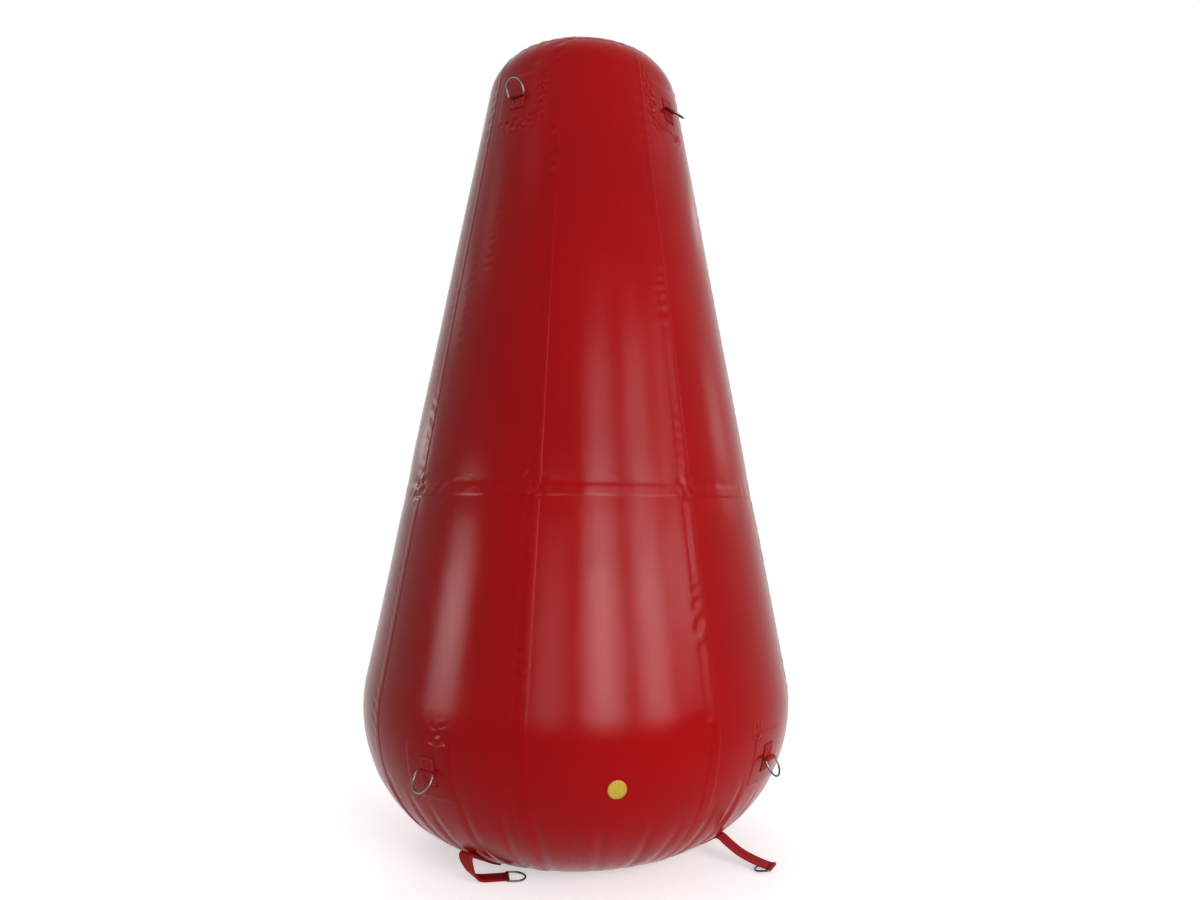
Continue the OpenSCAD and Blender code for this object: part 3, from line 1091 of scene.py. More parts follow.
@dataclass(frozen=True)
class CoatedFabric(Finish):
    """Glossy coated fabric: even colour, soft gloss, a faint scrim and a duller weld."""

    roughness: float = 0.17
    smoother: float = 0.03
    rougher: float = 0.04
    weld_dull: float = 0.06
    ior: float = 1.18
    tone_scale: float = 2.3
    gloss_scale: float = 9.0
    grain_scale: float = 210.0
    grain_share: float = 1.6
    scrim_pitch: float = 0.0024
    bump_depth: float = 0.00012
    bump_strength: float = 0.35

    def material(self) -> bpy.types.Material:
        """Build the material: slow tones, uneven gloss, and scrim and grain as bump.

        Returns:
            The new material.
        """
        sheet = Shading(self.name)
        places, cut = sheet.object_places(), sheet.cut_places()
        weld = sheet.add("ShaderNodeAttribute", attribute_name=WELD_NAME).outputs["Fac"]
        tone = sheet.spread(sheet.noise(places, self.tone_scale), 0.0, 1.0)
        gloss = sheet.noise(places, self.gloss_scale, detail=5.0)
        gloss = sheet.spread(gloss, self.roughness - self.smoother, self.roughness + self.rougher)
        gloss = sheet.math("MULTIPLY_ADD", weld, self.weld_dull, gloss)
        scrim = [sheet.ribs(cut, self.scrim_pitch, direction) for direction in ("X", "Y")]
        grain = sheet.noise(places, self.grain_scale, detail=2.0)
        grain = sheet.math("MULTIPLY_ADD", grain, self.grain_share, sheet.math("ADD", *scrim))
        sheet.feed(sheet.shader, {
            "Base Color": sheet.mix(tone, self.shade, self.colour), "Roughness": gloss, "IOR": self.ior,
            "Normal": sheet.bump(grain, self.bump_depth, self.bump_strength)})
        return sheet.material


@dataclass(frozen=True)
class Webbing(Finish):
    """Woven webbing: a twill of fine ribs over a weft, with uneven wear."""

    roughness: float = 0.62
    ior: float = 1.22
    rib_pitch: float = 0.0026
    weft_pitch: float = 0.8
    twill_deg: float = 32.0
    twill_share: float = 0.6
    weft_share: float = 0.4
    wear_scale: float = 60.0
    bump_depth: float = 0.0005
    bump_strength: float = 0.8

    def material(self) -> bpy.types.Material:
        """Build the material: turned ribs and cross ribs as bump and, with noise, as shade.

        Returns:
            The new material.
        """
        cloth = Shading(self.name)
        cut = cloth.cut_places()
        turn = (0.0, 0.0, np.radians(self.twill_deg))
        turned = cloth.add("ShaderNodeMapping", {"Vector": cut, "Rotation": turn})
        twill = cloth.ribs(turned.outputs["Vector"], self.rib_pitch, "X")
        weft = cloth.math("MULTIPLY", cloth.ribs(cut, self.rib_pitch * self.weft_pitch, "Y"), self.weft_share)
        weave = cloth.math("MULTIPLY_ADD", twill, self.twill_share, weft)
        wear = cloth.noise(cloth.object_places(), self.wear_scale)
        fade = cloth.math("MULTIPLY_ADD", wear, 0.5, cloth.math("MULTIPLY", weave, 0.5))
        cloth.feed(cloth.shader, {
            "Base Color": cloth.mix(fade, self.shade, self.colour), "Roughness": self.roughness,
            "IOR": self.ior, "Normal": cloth.bump(weave, self.bump_depth, self.bump_strength)})
        return cloth.material


@dataclass(frozen=True)
class Thread(Finish):
    """Sewing thread with a fine twist."""

    roughness: float = 0.55
    twist_scale: float = 900.0
    bump_depth: float = 0.0002
    bump_strength: float = 0.6

    def material(self) -> bpy.types.Material:
        """Build the material: fine noise as shade and bump.

        Returns:
            The new material.
        """
        thread = Shading(self.name)
        twist = thread.noise(thread.object_places(), self.twist_scale, detail=1.0)
        thread.feed(thread.shader, {
            "Base Color": thread.mix(twist, self.shade, self.colour), "Roughness": self.roughness,
            "Normal": thread.bump(twist, self.bump_depth, self.bump_strength)})
        return thread.material


@dataclass(frozen=True)
class RingSteel(Finish):
    """Polished round steel with fine draw marks and dull spots."""

    smoothest: float = 0.24
    roughest: float = 0.42
    tone_scale: float = 70.0
    dull_scale: float = 55.0
    mark_scale: float = 420.0
    bump_depth: float = 0.0001
    bump_strength: float = 0.25

    def material(self) -> bpy.types.Material:
        """Build the material: noise as shade, as dull spots and as bump.

        Returns:
            The new material.
        """
        steel = Shading(self.name)
        places = steel.object_places()
        marks = steel.noise(places, self.mark_scale, detail=4.0)
        dull = steel.spread(steel.noise(places, self.dull_scale), self.smoothest, self.roughest)
        tone = steel.noise(places, self.tone_scale)
        steel.feed(steel.shader, {
            "Base Color": steel.mix(tone, self.shade, self.colour), "Metallic": 1.0, "Roughness": dull,
            "Normal": steel.bump(marks, self.bump_depth, self.bump_strength)})
        return steel.material


@dataclass(frozen=True)
class ValvePlastic(Finish):
    """Moulded plastic with faint flow marks and scuffs."""

    roughness: float = 0.38
    smoother: float = 0.06
    rougher: float = 0.12
    ior: float = 1.46
    flow_scale: float = 75.0
    scuff_scale: float = 320.0
    grain_scale: float = 700.0
    bump_depth: float = 0.00015
    bump_strength: float = 0.3

    def material(self) -> bpy.types.Material:
        """Build the material: noise as flow marks, as scuffs and as bump.

        Returns:
            The new material.
        """
        plastic = Shading(self.name)
        places = plastic.object_places()
        flow = plastic.spread(plastic.noise(places, self.flow_scale, detail=4.0), 0.0, 1.0)
        scuff = plastic.noise(places, self.scuff_scale)
        scuff = plastic.spread(scuff, self.roughness - self.smoother, self.roughness + self.rougher)
        grain = plastic.noise(places, self.grain_scale)
        plastic.feed(plastic.shader, {
            "Base Color": plastic.mix(flow, self.shade, self.colour), "Roughness": scuff, "IOR": self.ior,
            "Normal": plastic.bump(grain, self.bump_depth, self.bump_strength)})
        return plastic.material


SKIN = CoatedFabric("glossy_red_fabric", "skin", (0.36, 0.0006, 0.0016), (0.31, 0.0004, 0.0012))
PATCH = CoatedFabric("patch_red_fabric", "patch", (0.35, 0.0006, 0.0016), (0.30, 0.0004, 0.0012),
                     roughness=0.20)
STRAP_WEBBING = Webbing("red_webbing", "webbing", (0.37, 0.003, 0.006), (0.27, 0.002, 0.004))
THREAD = Thread("red_thread", "webbing", (0.55, 0.10, 0.10), (0.40, 0.05, 0.05))
# Painted shade: the steel's colour and its darker tone are set low, so the polished rings look as dark as
# rings that mirror a dim room.
STEEL_PAINTED_DARK = RingSteel("ring_steel_painted_shade", "ring", (0.13, 0.122, 0.118), (0.065, 0.060, 0.057))
CAP_PLASTIC = ValvePlastic("yellow_plastic", "valve", (0.56, 0.40, 0.03), (0.50, 0.34, 0.02))
RIM_PLASTIC = ValvePlastic("yellow_rim_plastic", "valve", (0.66, 0.42, 0.07), (0.60, 0.38, 0.05))


class Wardrobe:
    """Materials made so far, and the calls that put a piece in place."""

    def __init__(self) -> None:
        """Start with no material."""
        self.made: dict[str, bpy.types.Material] = {}

    def cloth(self, finish: Finish) -> bpy.types.Material:
        """Material of a finish, made once.

        Args:
            finish: the finish.

        Returns:
            Its material.
        """
        if finish.name not in self.made:
            self.made[finish.name] = finish.material()
        return self.made[finish.name]

    def dress(self, piece: bpy.types.Object, finish: Finish, *nodes: str) -> bpy.types.Object:
        """Give a new piece its finish and the envelope as its body, and hide the solids that it replaces.

        Args:
            piece: the new piece.
            finish: its finish.
            nodes: names of the solids that it replaces.

        Returns:
            The same piece.
        """
        piece.data.materials.append(self.cloth(finish))
        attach(piece, ENVELOPE)
        if nodes:
            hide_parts(*nodes)
        LOG.info("%s: %d faces, finish %s", piece.name, len(piece.data.polygons), finish.name)
        return piece

    def redress(self, node: str, finish: Finish) -> None:
        """Give a solid of the frame a finish of its own.

        Args:
            node: name of the solid.
            finish: its finish.
        """
        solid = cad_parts[node]
        solid.data.materials.clear()
        solid.data.materials.append(self.cloth(finish))
        LOG.info("%s: kept, finish %s", node, finish.name)


# Sub-assemblies

@dataclass
class Envelope:
    """Welded skin: sixteen gores in two tiers, the crown panel and the base panel."""

    wardrobe: Wardrobe
    skin_t: float = 0.001
    bond: float = 0.0001
    lap_w: float = 0.025
    rise_w: float = 0.008
    tuck: float = 0.0006
    edge_deg: float = 4.6
    lap_from_deg: float = 40.6
    edge_cols: int = 13
    plain_cols: int = 48
    patched_cols: int = 80
    lap_cols: int = 20
    row_step: float = 0.0076
    fine_step: float = 0.0042
    fine_below_girth: float = 0.08
    fine_above_girth: float = 0.10
    fine_below_upper_ring: float = 0.13
    fine_above_lower_ring: float = 0.14
    panel_step: float = 0.0052
    panel_cols: int = 240
    pole_gap: float = 0.006

    @property
    def layer(self) -> float:
        """Height of the outer face of a lap over the sheet under it."""
        return self.skin_t + self.bond

    @cached_property
    def lap_deg(self) -> float:
        """Width of an upright lap, in degrees."""
        return float(np.degrees(self.lap_w / MERIDIAN.at(np.array(MARKS.girth_s))[0]))

    def rows(self, tier: Tier, low: float, high: float, seat_step: float) -> Array:
        """Lengths of a gore's rows: close together by the patches and the girth, wider apart between.

        Args:
            tier: the gore's tier.
            low: length at its lower edge.
            high: length at its upper edge.
            seat_step: step between the rows by the patches.

        Returns:
            The lengths, rising.
        """
        if tier is Tier.UPPER:
            ends = (low, low + self.fine_above_girth, MARKS.upper_seat_s - self.fine_below_upper_ring, high)
            steps = (self.fine_step, self.row_step, seat_step)
        else:
            ends = (low, MARKS.lower_seat_s + self.fine_above_lower_ring, high - self.fine_below_girth, high)
            steps = (seat_step, self.row_step, self.fine_step)
        return spaced(*((a, b, round((b - a) / step)) for a, b, step in zip(ends, ends[1:], steps)))

    def gore_rise(self, tier: Tier, turn: Array, s: Array) -> tuple[Array, Array]:
        """Lift of a gore where it laps over its neighbours.

        The lift is the lap's height times a smooth step just before the next seam, and where another lap
        covers this one it dips under the sheet instead. An upper gore is also lifted by the lap's height
        below the girth seam. The last column, and an upper gore's first row, fold down to the cloth below.

        Args:
            tier: the gore's tier.
            turn: degrees past the gore's first seam, one to a column.
            s: lengths along the meridian, one to a row.

        Returns:
            The lift at each point, and the share of the upright lap there.
        """
        upper = tier is Tier.UPPER
        free_low = MARKS.girth_s if upper else MARKS.base_seam_s + self.lap_w
        free_high = (MARKS.crown_seam_s if upper else MARKS.girth_s) - self.lap_w
        free = ramp(s, free_low, free_low + self.rise_w) * ramp(-s, -free_high, self.rise_w - free_high)
        rise_deg = np.degrees(self.rise_w / MERIDIAN.at(s)[0])
        lap = ramp((turn[None] - GORE_DEG) / rise_deg[:, None], -1.0, 0.0)
        rise = lap * (self.layer * free - self.tuck * (1.0 - free))[:, None]
        if upper:
            girth_lap = 1.0 - ramp(s, MARKS.girth_s, MARKS.girth_s + self.rise_w)
            rise = np.maximum(rise, 0.0) + self.layer * girth_lap[:, None]
            rise[0] -= self.skin_t
        rise[:, -1] -= self.skin_t
        return rise, lap

    def gore(self, tier: Tier, number: int) -> bpy.types.Object:
        """One gore: a grid of azimuth and length on the puckered skin, lifted at its laps.

        Args:
            tier: the gore's tier.
            number: its number round the body, from 1.

        Returns:
            The dressed piece.
        """
        upper = tier is Tier.UPPER
        has_patch = number % 2 == 0
        turn = spaced((0.0, self.edge_deg, self.edge_cols),
                      (self.edge_deg, self.lap_from_deg, self.patched_cols if has_patch else self.plain_cols),
                      (self.lap_from_deg, GORE_DEG + self.lap_deg, self.lap_cols))
        low = MARKS.girth_s - self.lap_w if upper else MARKS.base_seam_s
        high = MARKS.crown_seam_s if upper else MARKS.girth_s
        s = self.rows(tier, low, high, self.fine_step if has_patch else self.row_step)
        rise, lap = self.gore_rise(tier, turn, s)
        az_grid, s_grid = np.meshgrid(SEAM_AZ + (number - 1) * GORE_DEG + turn, s)
        radius = MERIDIAN.at(s_grid)[0]
        uv = np.stack([radius * np.radians(turn - GORE_DEG / 2)[None], s_grid], axis=-1)
        weld = np.maximum(lap, 1.0 - ramp(turn * np.radians(radius), 0.0, self.lap_w))
        name = f"{tier.value}_gore_{number}"
        piece = Sheet(on_skin(az_grid, s_grid, rise), uv, weld).piece(f"{name}_skin")
        self.wardrobe.dress(piece, SKIN, name)
        return piece

    def panel(self, name: str, seam_s: float, lap_s: float, pole_s: float) -> bpy.types.Object:
        """Round end panel: rings of points from the pole to its lap over the gores.

        The lift is the lap's height times a smooth step at the seam, and the outer ring folds down.

        Args:
            name: name of the solid that it replaces.
            seam_s: length along the meridian at the seam.
            lap_s: length at the lap's edge.
            pole_s: length at the pole.

        Returns:
            The dressed piece.
        """
        way = np.sign(lap_s - pole_s)
        s = np.linspace(pole_s + way * self.pole_gap, lap_s, round(abs(lap_s - pole_s) / self.panel_step))
        az_grid, s_grid = np.meshgrid(np.arange(self.panel_cols) * 360.0 / self.panel_cols, s)
        lap = np.broadcast_to(ramp(way * (s - seam_s), -self.rise_w, 0.0)[:, None], s_grid.shape)
        rise = self.layer * lap
        rise[-1] -= self.skin_t
        radius = MERIDIAN.at(s_grid)[0]
        uv = outward(az_grid)[..., :2] * radius[..., None]
        pole = np.array([0.0, 0.0, float(MERIDIAN.at(np.array(pole_s))[1])])
        sheet = Sheet(on_skin(az_grid, s_grid, rise), uv, lap, closed_columns=True, pole=pole)
        piece = sheet.piece(f"{name}_skin", flip=bool(way < 0))
        self.wardrobe.dress(piece, SKIN, name)
        return piece

    def build(self) -> None:
        """Make every panel of the skin."""
        for tier in Tier:
            for number in range(1, GORES + 1):
                self.gore(tier, number)
        base_s, crown_s, top_s = MARKS.base_seam_s, MARKS.crown_seam_s, float(MERIDIAN.knots[4])
        self.panel("base_panel", base_s, base_s + self.lap_w, 0.0)
        self.panel("crown_panel", crown_s, crown_s - self.lap_w, top_s)


@dataclass(frozen=True)
class WeldedPatch:
    """Welded patch with round corners, laid on the skin. Shares are those of the way from middle to edge."""

    az: float
    s: float
    size: tuple[float, float]
    corner_r: float
    high: float
    rays: int = 120
    first_share: float = 0.06
    thin_share: float = 0.86
    edge_share: float = 0.88
    face_rings: int = 17
    edge_rings: int = 6
    weld_shares: tuple[float, float] = (0.74, 0.90)

    def outline(self) -> Array:
        """Outline of the cut patch.

        Along each ray from the middle the reach is the nearer of the two sides, or the corner's circle where
        the ray ends in a corner.

        Returns:
            Sideways and upward way from the middle, one row to a ray.
        """
        half = np.array(self.size) / 2
        turn = np.linspace(0.0, 2.0 * np.pi, self.rays + 1)[:-1]
        ray = np.stack([np.cos(turn), np.sin(turn)], axis=-1)
        reach = (half / np.maximum(np.abs(ray), 1e-9)).min(axis=1)
        corner = half - self.corner_r
        along = np.abs(ray) @ corner
        circle = along + np.sqrt(np.maximum(np.square(along) - corner @ corner + self.corner_r ** 2, 0.0))
        in_corner = (np.abs(ray) * reach[:, None] > corner).all(axis=1)
        return np.where(in_corner, circle, reach)[:, None] * ray

    def sheet(self) -> Sheet:
        """Grid of the patch: its outline in rising shares, each on the skin, with an edge that thins out.

        Returns:
            The patch as rings round a pole.
        """
        share = np.concatenate([np.linspace(self.first_share, self.thin_share, self.face_rings),
                                np.linspace(self.edge_share, 1.0, self.edge_rings)])
        rise = self.high * (1.0 - ramp(share, self.thin_share, 1.0))
        flat = share[:, None, None] * self.outline()[None]
        s = self.s + flat[..., 1]
        az = self.az + np.degrees(flat[..., 0] / MERIDIAN.at(s)[0])
        points = on_skin(az, s, np.broadcast_to(rise[:, None], s.shape))
        weld = np.broadcast_to(ramp(share, *self.weld_shares)[:, None], s.shape)
        pole = on_skin(np.array(self.az), np.array(self.s), self.high)
        return Sheet(points, flat, weld, closed_columns=True, pole=pole)


@dataclass
class RingSeat:
    """Patch and webbing keeper under one ring on the wall, and the ring's finish."""

    wardrobe: Wardrobe
    station: Station
    tier: Tier
    patch_w: float = 0.150
    corner_r: float = 0.015
    patch_high: float = 0.0011
    bond: float = 0.0001
    webbing_w: float = 0.045
    webbing_t: float = 0.002
    keeper_len: float = 0.070
    bar_off: float = 0.0107
    eye_r: float = 0.0028
    eye_points: int = 25
    tail_points: int = 12
    neck_gaps: tuple[float, ...] = (0.003, 0.0009, 0.0001)
    neck_lifts: tuple[float, ...] = (0.0004, 0.0016)
    hug_heights: tuple[float, float] = (0.0026, 0.0060)
    thread_d: float = 0.0009
    stitch_len: float = 0.0045
    stitch_pitch: float = 1.25
    stitch_share: float = 0.8
    stitch_neck_gap: float = 0.008
    stitch_end_gap: float = 0.005
    stitch_side_gap: float = 0.004
    probe: float = 0.001

    @property
    def seat_s(self) -> float:
        """Length along the meridian at the ring's bar."""
        return MARKS.seat_s(self.tier)

    def name(self, piece: str) -> str:
        """Name of one of this seat's solids."""
        return f"{self.tier.value}_{piece}_{self.station.number}"

    def patch(self) -> bpy.types.Object:
        """Square welded patch with round corners on the skin.

        Returns:
            The dressed piece.
        """
        size = (self.patch_w, self.patch_w)
        patch = WeldedPatch(self.station.az, self.seat_s, size, self.corner_r, self.patch_high)
        piece = patch.sheet().piece(f"{self.name('patch')}_skin")
        return self.wardrobe.dress(piece, PATCH, self.name("patch"))

    def profile(self) -> tuple[Array, Array]:
        """Keeper's middle line.

        The lower tail runs up to the neck, the neck leads out to the eye, the eye goes round the bar, and
        the line returns to the upper tail.

        Returns:
            Heights over the seat and lengths up the meridian.
        """
        tail = self.patch_high + self.bond + self.webbing_t / 2
        half, neck = self.keeper_len / 2, self.webbing_t / 2 + self.bond
        eye = self.eye_r + self.webbing_t / 2
        first = np.arcsin(neck / eye)
        turn = np.linspace(first, 2.0 * np.pi - first, self.eye_points)
        tail_end, *bends = -neck - np.array(self.neck_gaps)
        up = np.concatenate([np.linspace(-half, tail_end, self.tail_points), bends])
        lift = np.concatenate([np.full(self.tail_points, tail), tail + np.array(self.neck_lifts)])
        height = np.concatenate([lift, self.bar_off - eye * np.cos(turn), lift[::-1]])
        return height, np.concatenate([up, -eye * np.sin(turn), -up[::-1]])

    def place(self, side: Array, height: Array, up: Array, hug: Array) -> Array:
        """Points over the seat: a share of the place on the curved skin, the rest of that on the flat seat.

        Args:
            side: ways sideways.
            height: heights over the skin.
            up: ways up the meridian.
            hug: share that follows the skin.

        Returns:
            The points.
        """
        s0 = np.array(self.seat_s)
        radius, z, slope = MERIDIAN.at(s0)
        out, across = outward(np.array(self.station.az)), sideways(np.array(self.station.az))
        normal = out * np.cos(slope) + np.array([0.0, 0.0, np.sin(slope)])
        rising = np.array([0.0, 0.0, np.cos(slope)]) - out * np.sin(slope)
        flat = out * radius + np.array([0.0, 0.0, z]) + side[..., None] * across
        flat = flat + height[..., None] * normal + up[..., None] * rising
        curved = on_skin(self.station.az + np.degrees(side / MERIDIAN.at(s0 + up)[0]), s0 + up, height)
        return flat + hug[..., None] * (curved - flat)

    def keeper(self) -> bpy.types.Object:
        """Webbing keeper: the strip's outline carried along the keeper's line.

        Returns:
            The dressed piece.
        """
        height, up = self.profile()
        line = np.stack([height, up], axis=-1)
        heading = unit(np.gradient(line, axis=0))
        across, through = strip_section(self.webbing_w, self.webbing_t)
        high = height[:, None] - through[None] * heading[:, 1:]
        rise = up[:, None] + through[None] * heading[:, :1]
        hug = np.broadcast_to(1.0 - ramp(height, *self.hug_heights)[:, None], high.shape)
        side = np.broadcast_to(across, high.shape)
        uv = np.stack([side, np.broadcast_to(path_lengths(line)[:, None], high.shape)], axis=-1)
        sheet = Sheet(self.place(side, high, rise, hug), uv, closed_columns=True, capped=True)
        piece = sheet.piece(f"{self.name('keeper')}_webbing")
        return self.wardrobe.dress(piece, STRAP_WEBBING, self.name("keeper"))

    def stitch_line(self, first: Array, last: Array) -> Array:
        """Stitches along a straight line.

        Args:
            first: sideways and upward place of the line's start.
            last: the same of its end.

        Returns:
            Start and end of each stitch.
        """
        pitch = self.stitch_len * self.stitch_pitch
        count = max(2, round(float(np.linalg.norm(last - first)) / pitch))
        holes = first + np.linspace(0.0, 1.0, count + 1)[:, None] * (last - first)
        return np.stack([holes[:-1], holes[:-1] + self.stitch_share * np.diff(holes, axis=0)], axis=1)

    def stitches(self) -> bpy.types.Object:
        """Two boxes of stitches with a diagonal, which hold the keeper's tails.

        Returns:
            The dressed piece.
        """
        inner, outer = self.stitch_neck_gap, self.keeper_len / 2 - self.stitch_end_gap
        half = self.webbing_w / 2 - self.stitch_side_gap
        lines = []
        for low, high in ((inner, outer), (-outer, -inner)):
            box = np.array([[-half, low], [half, low], [half, high], [-half, high], [-half, low],
                            [half, high]])
            lines += [self.stitch_line(first, last) for first, last in zip(box[:-1], box[1:])]
        holes = np.concatenate(lines)
        face = self.patch_high + self.bond + self.webbing_t + self.bond
        hug = np.ones(holes.shape[:2])
        points, above = (self.place(holes[..., 0], np.full(holes.shape[:2], high), holes[..., 1], hug)
                         for high in (face, face + self.probe))
        row = StitchRow(points[:, 0], points[:, 1], unit(above - points)[:, 0], self.thread_d)
        return self.wardrobe.dress(row.piece(f"{self.name('keeper')}_stitches"), THREAD)

    def build(self) -> None:
        """Make the patch, the keeper and its stitches, and finish the ring."""
        self.patch()
        self.keeper()
        self.stitches()
        self.wardrobe.redress(self.name("ring"), STEEL_PAINTED_DARK)


@dataclass
class StrapTab:
    """Strap tab under the bottom edge: its patch, the doubled webbing round its ring, and its stitches."""

    wardrobe: Wardrobe
    station: Station
    strap_slope: float = -56.0
    root_len: float = 0.090
    root_points: int = 5
    path_steps: int = 8
    webbing_w: float = 0.045
    webbing_t: float = 0.002
    lap_w: float = 0.025
    corner_r: float = 0.004
    patch_high: float = 0.0011
    layer_off: float = 0.0035
    bond: float = 0.0001
    eye_r: float = 0.0028
    eye_points: int = 29
    eye_room: int = 3
    thread_d: float = 0.0010
    stitch_len: float = 0.005
    stitch_share: float = 0.75
    stitch_root_gap: float = 0.006
    stitch_ring_gap: float = 0.010
    stitch_side_gap: float = 0.0045
    cross_gaps: tuple[float, float] = (0.012, 0.020)
    cross_holes: int = 9
    cross_share: float = 0.8

    @property
    def root_deg(self) -> float:
        """Length of the root, in degrees of the bottom arc."""
        return float(np.degrees(self.root_len / MERIDIAN.base_arc_r))

    def name(self, piece: str) -> str:
        """Name of one of this tab's solids."""
        return f"{piece}_{self.station.number}"

    def world(self, points: Array) -> Array:
        """Points of the row frame.

        Args:
            points: points or directions given as outward, sideways and up.

        Returns:
            The same in the row frame.
        """
        az = np.array(self.station.strap_az)
        up = np.array([0.0, 0.0, 1.0])
        return points[:, :1] * outward(az) + points[:, 1:2] * sideways(az) + points[:, 2:] * up

    @cached_property
    def middle(self) -> tuple[Array, Array]:
        """Middle line of the doubled webbing: a smooth line along the root's arc and through the free points.

        Returns:
            Points from the root to just before the ring, and the width's direction at each.
        """
        slope = np.radians(np.linspace(self.strap_slope - self.root_deg, self.strap_slope, self.root_points))
        arc = MERIDIAN.base_arc_r + self.layer_off
        root = np.stack([MERIDIAN.foot_r + arc * np.cos(slope), np.zeros(self.root_points),
                         MERIDIAN.base_arc_r + arc * np.sin(slope)], axis=-1)
        seat_r, seat_z, _ = MERIDIAN.at(np.array(MERIDIAN.at_slope(self.strap_slope)))
        floor_z = self.eye_r + self.webbing_t + self.bond
        free, turns = self.station.lay.points(float(seat_r), float(seat_z), floor_z)
        path = smooth_path(np.concatenate([root, free]), self.path_steps)
        turns = np.concatenate([np.zeros(self.root_points), turns])[:, None]
        turn = np.radians(smooth_path(turns, self.path_steps)[:, 0])
        return path, np.stack([np.sin(turn), np.cos(turn), np.zeros_like(turn)], axis=-1)

    def loop(self) -> tuple[Array, Array]:
        """Line of the one ply that makes the tab.

        It follows one face of the middle line out to the ring, goes round the bar, and comes back along the
        other face. The bar lies past the end by the eye's radius and half a ply.

        Returns:
            Points of the line, and the width's direction at each.
        """
        path, wide = self.middle
        heading, across, rise = path_frame(path, wide)
        gap = self.webbing_t / 2 + self.bond / 2
        eye = self.eye_r + self.webbing_t / 2
        bar = path[-1] + heading[-1] * eye
        first = np.arcsin(gap / eye)
        turn = np.linspace(first, 2.0 * np.pi - first, self.eye_points)[:, None]
        ring = bar - heading[-1] * eye * np.cos(turn) - rise[-1] * eye * np.sin(turn)
        plies = slice(None, -self.eye_room)
        line = np.concatenate([(path - rise * gap)[plies], ring, (path + rise * gap)[plies][::-1]])
        turned = np.repeat(across[-1:], len(turn), axis=0)
        return line, np.concatenate([across[plies], turned, across[plies][::-1]])

    def webbing(self) -> bpy.types.Object:
        """The tab itself: one strip of webbing folded double round the ring.

        Returns:
            The dressed piece.
        """
        line, width = self.loop()
        sheet = ribbon(self.world(line), self.world(width), self.webbing_w, self.webbing_t)
        piece = sheet.piece(f"{self.name('strap')}_webbing")
        self.wardrobe.dress(piece, STRAP_WEBBING, self.name("strap"))
        self.name("strap_patch")
        return piece

    def on_face(self, length: Array, side: Array, sign: float) -> tuple[Array, Array]:
        """Places on a face of the tab: the middle line's point plus the ways across and out.

        Args:
            length: lengths along the tab.
            side: ways sideways from its middle line.
            sign: 1 for one face and -1 for the other.

        Returns:
            The points, and the directions out of the face there.
        """
        path, wide = self.middle
        _, across, rise = path_frame(path, wide)
        run = path_lengths(path)
        point, over, out = (np.stack([np.interp(length, run, column) for column in rows.T], axis=-1)
                            for rows in (path, across, rise))
        face = self.webbing_t + self.bond
        return point + over * side[..., None] + sign * out * face, sign * out

    def stitches(self) -> bpy.types.Object:
        """Stitches along both edges of the tab on each face, and two rows across it near the ring.

        Returns:
            The dressed piece.
        """
        length = path_lengths(self.middle[0])[-1]
        edge = self.webbing_w / 2 - self.stitch_side_gap
        marks = np.arange(self.stitch_root_gap, length - self.stitch_ring_gap, self.stitch_len)
        along = np.stack([marks, marks + self.stitch_share * self.stitch_len], axis=-1)
        holes = np.linspace(-edge, edge, self.cross_holes)
        cross = np.stack([holes[:-1], holes[:-1] + self.cross_share * np.diff(holes)], axis=-1)
        rows = [(along, np.full(along.shape, side)) for side in (-edge, edge)]
        rows += [(np.full(cross.shape, length - gap), cross) for gap in self.cross_gaps]
        faces = [self.on_face(run, side, sign) for sign in (-1.0, 1.0) for run, side in rows]
        starts = self.world(np.concatenate([points[:, 0] for points, _ in faces]))
        ends = self.world(np.concatenate([points[:, 1] for points, _ in faces]))
        rise = self.world(np.concatenate([out[:, 0] for _, out in faces]))
        row = StitchRow(starts, ends, unit(rise), self.thread_d)
        return self.wardrobe.dress(row.piece(f"{self.name('strap')}_stitches"), THREAD)

    def patch(self) -> bpy.types.Object:
        """Welded patch over the tab's root.

        Returns:
            The dressed piece.
        """
        middle = MERIDIAN.at_slope(self.strap_slope - self.root_deg / 2)
        size = (self.webbing_w + self.lap_w, self.root_len)
        patch = WeldedPatch(self.station.strap_az, middle, size, self.corner_r, self.patch_high)
        piece = patch.sheet().piece(f"{self.name('strap_patch')}_skin")
        return self.wardrobe.dress(piece, PATCH, self.name("strap_patch"))

    def build(self) -> None:
        """Make the patch, the tab and its stitches, and finish the ring."""
        self.patch()
        self.webbing()
        self.stitches()
        self.wardrobe.redress(self.name("strap_ring"), STEEL_PAINTED_DARK)


@dataclass
class Valve:
    """Inflation valve: its flange and its flush cap, kept from the frame."""

    wardrobe: Wardrobe

    def build(self) -> None:
        """Finish the flange and the cap."""
        self.wardrobe.redress("valve_base", RIM_PLASTIC)
        self.wardrobe.redress("valve_cap", CAP_PLASTIC)


class LampUse(Enum):
    """What a lamp is for: the even light on the body, or the gleam that its gloss shows."""

    FILL = "fill"
    GLEAM = "gleam"


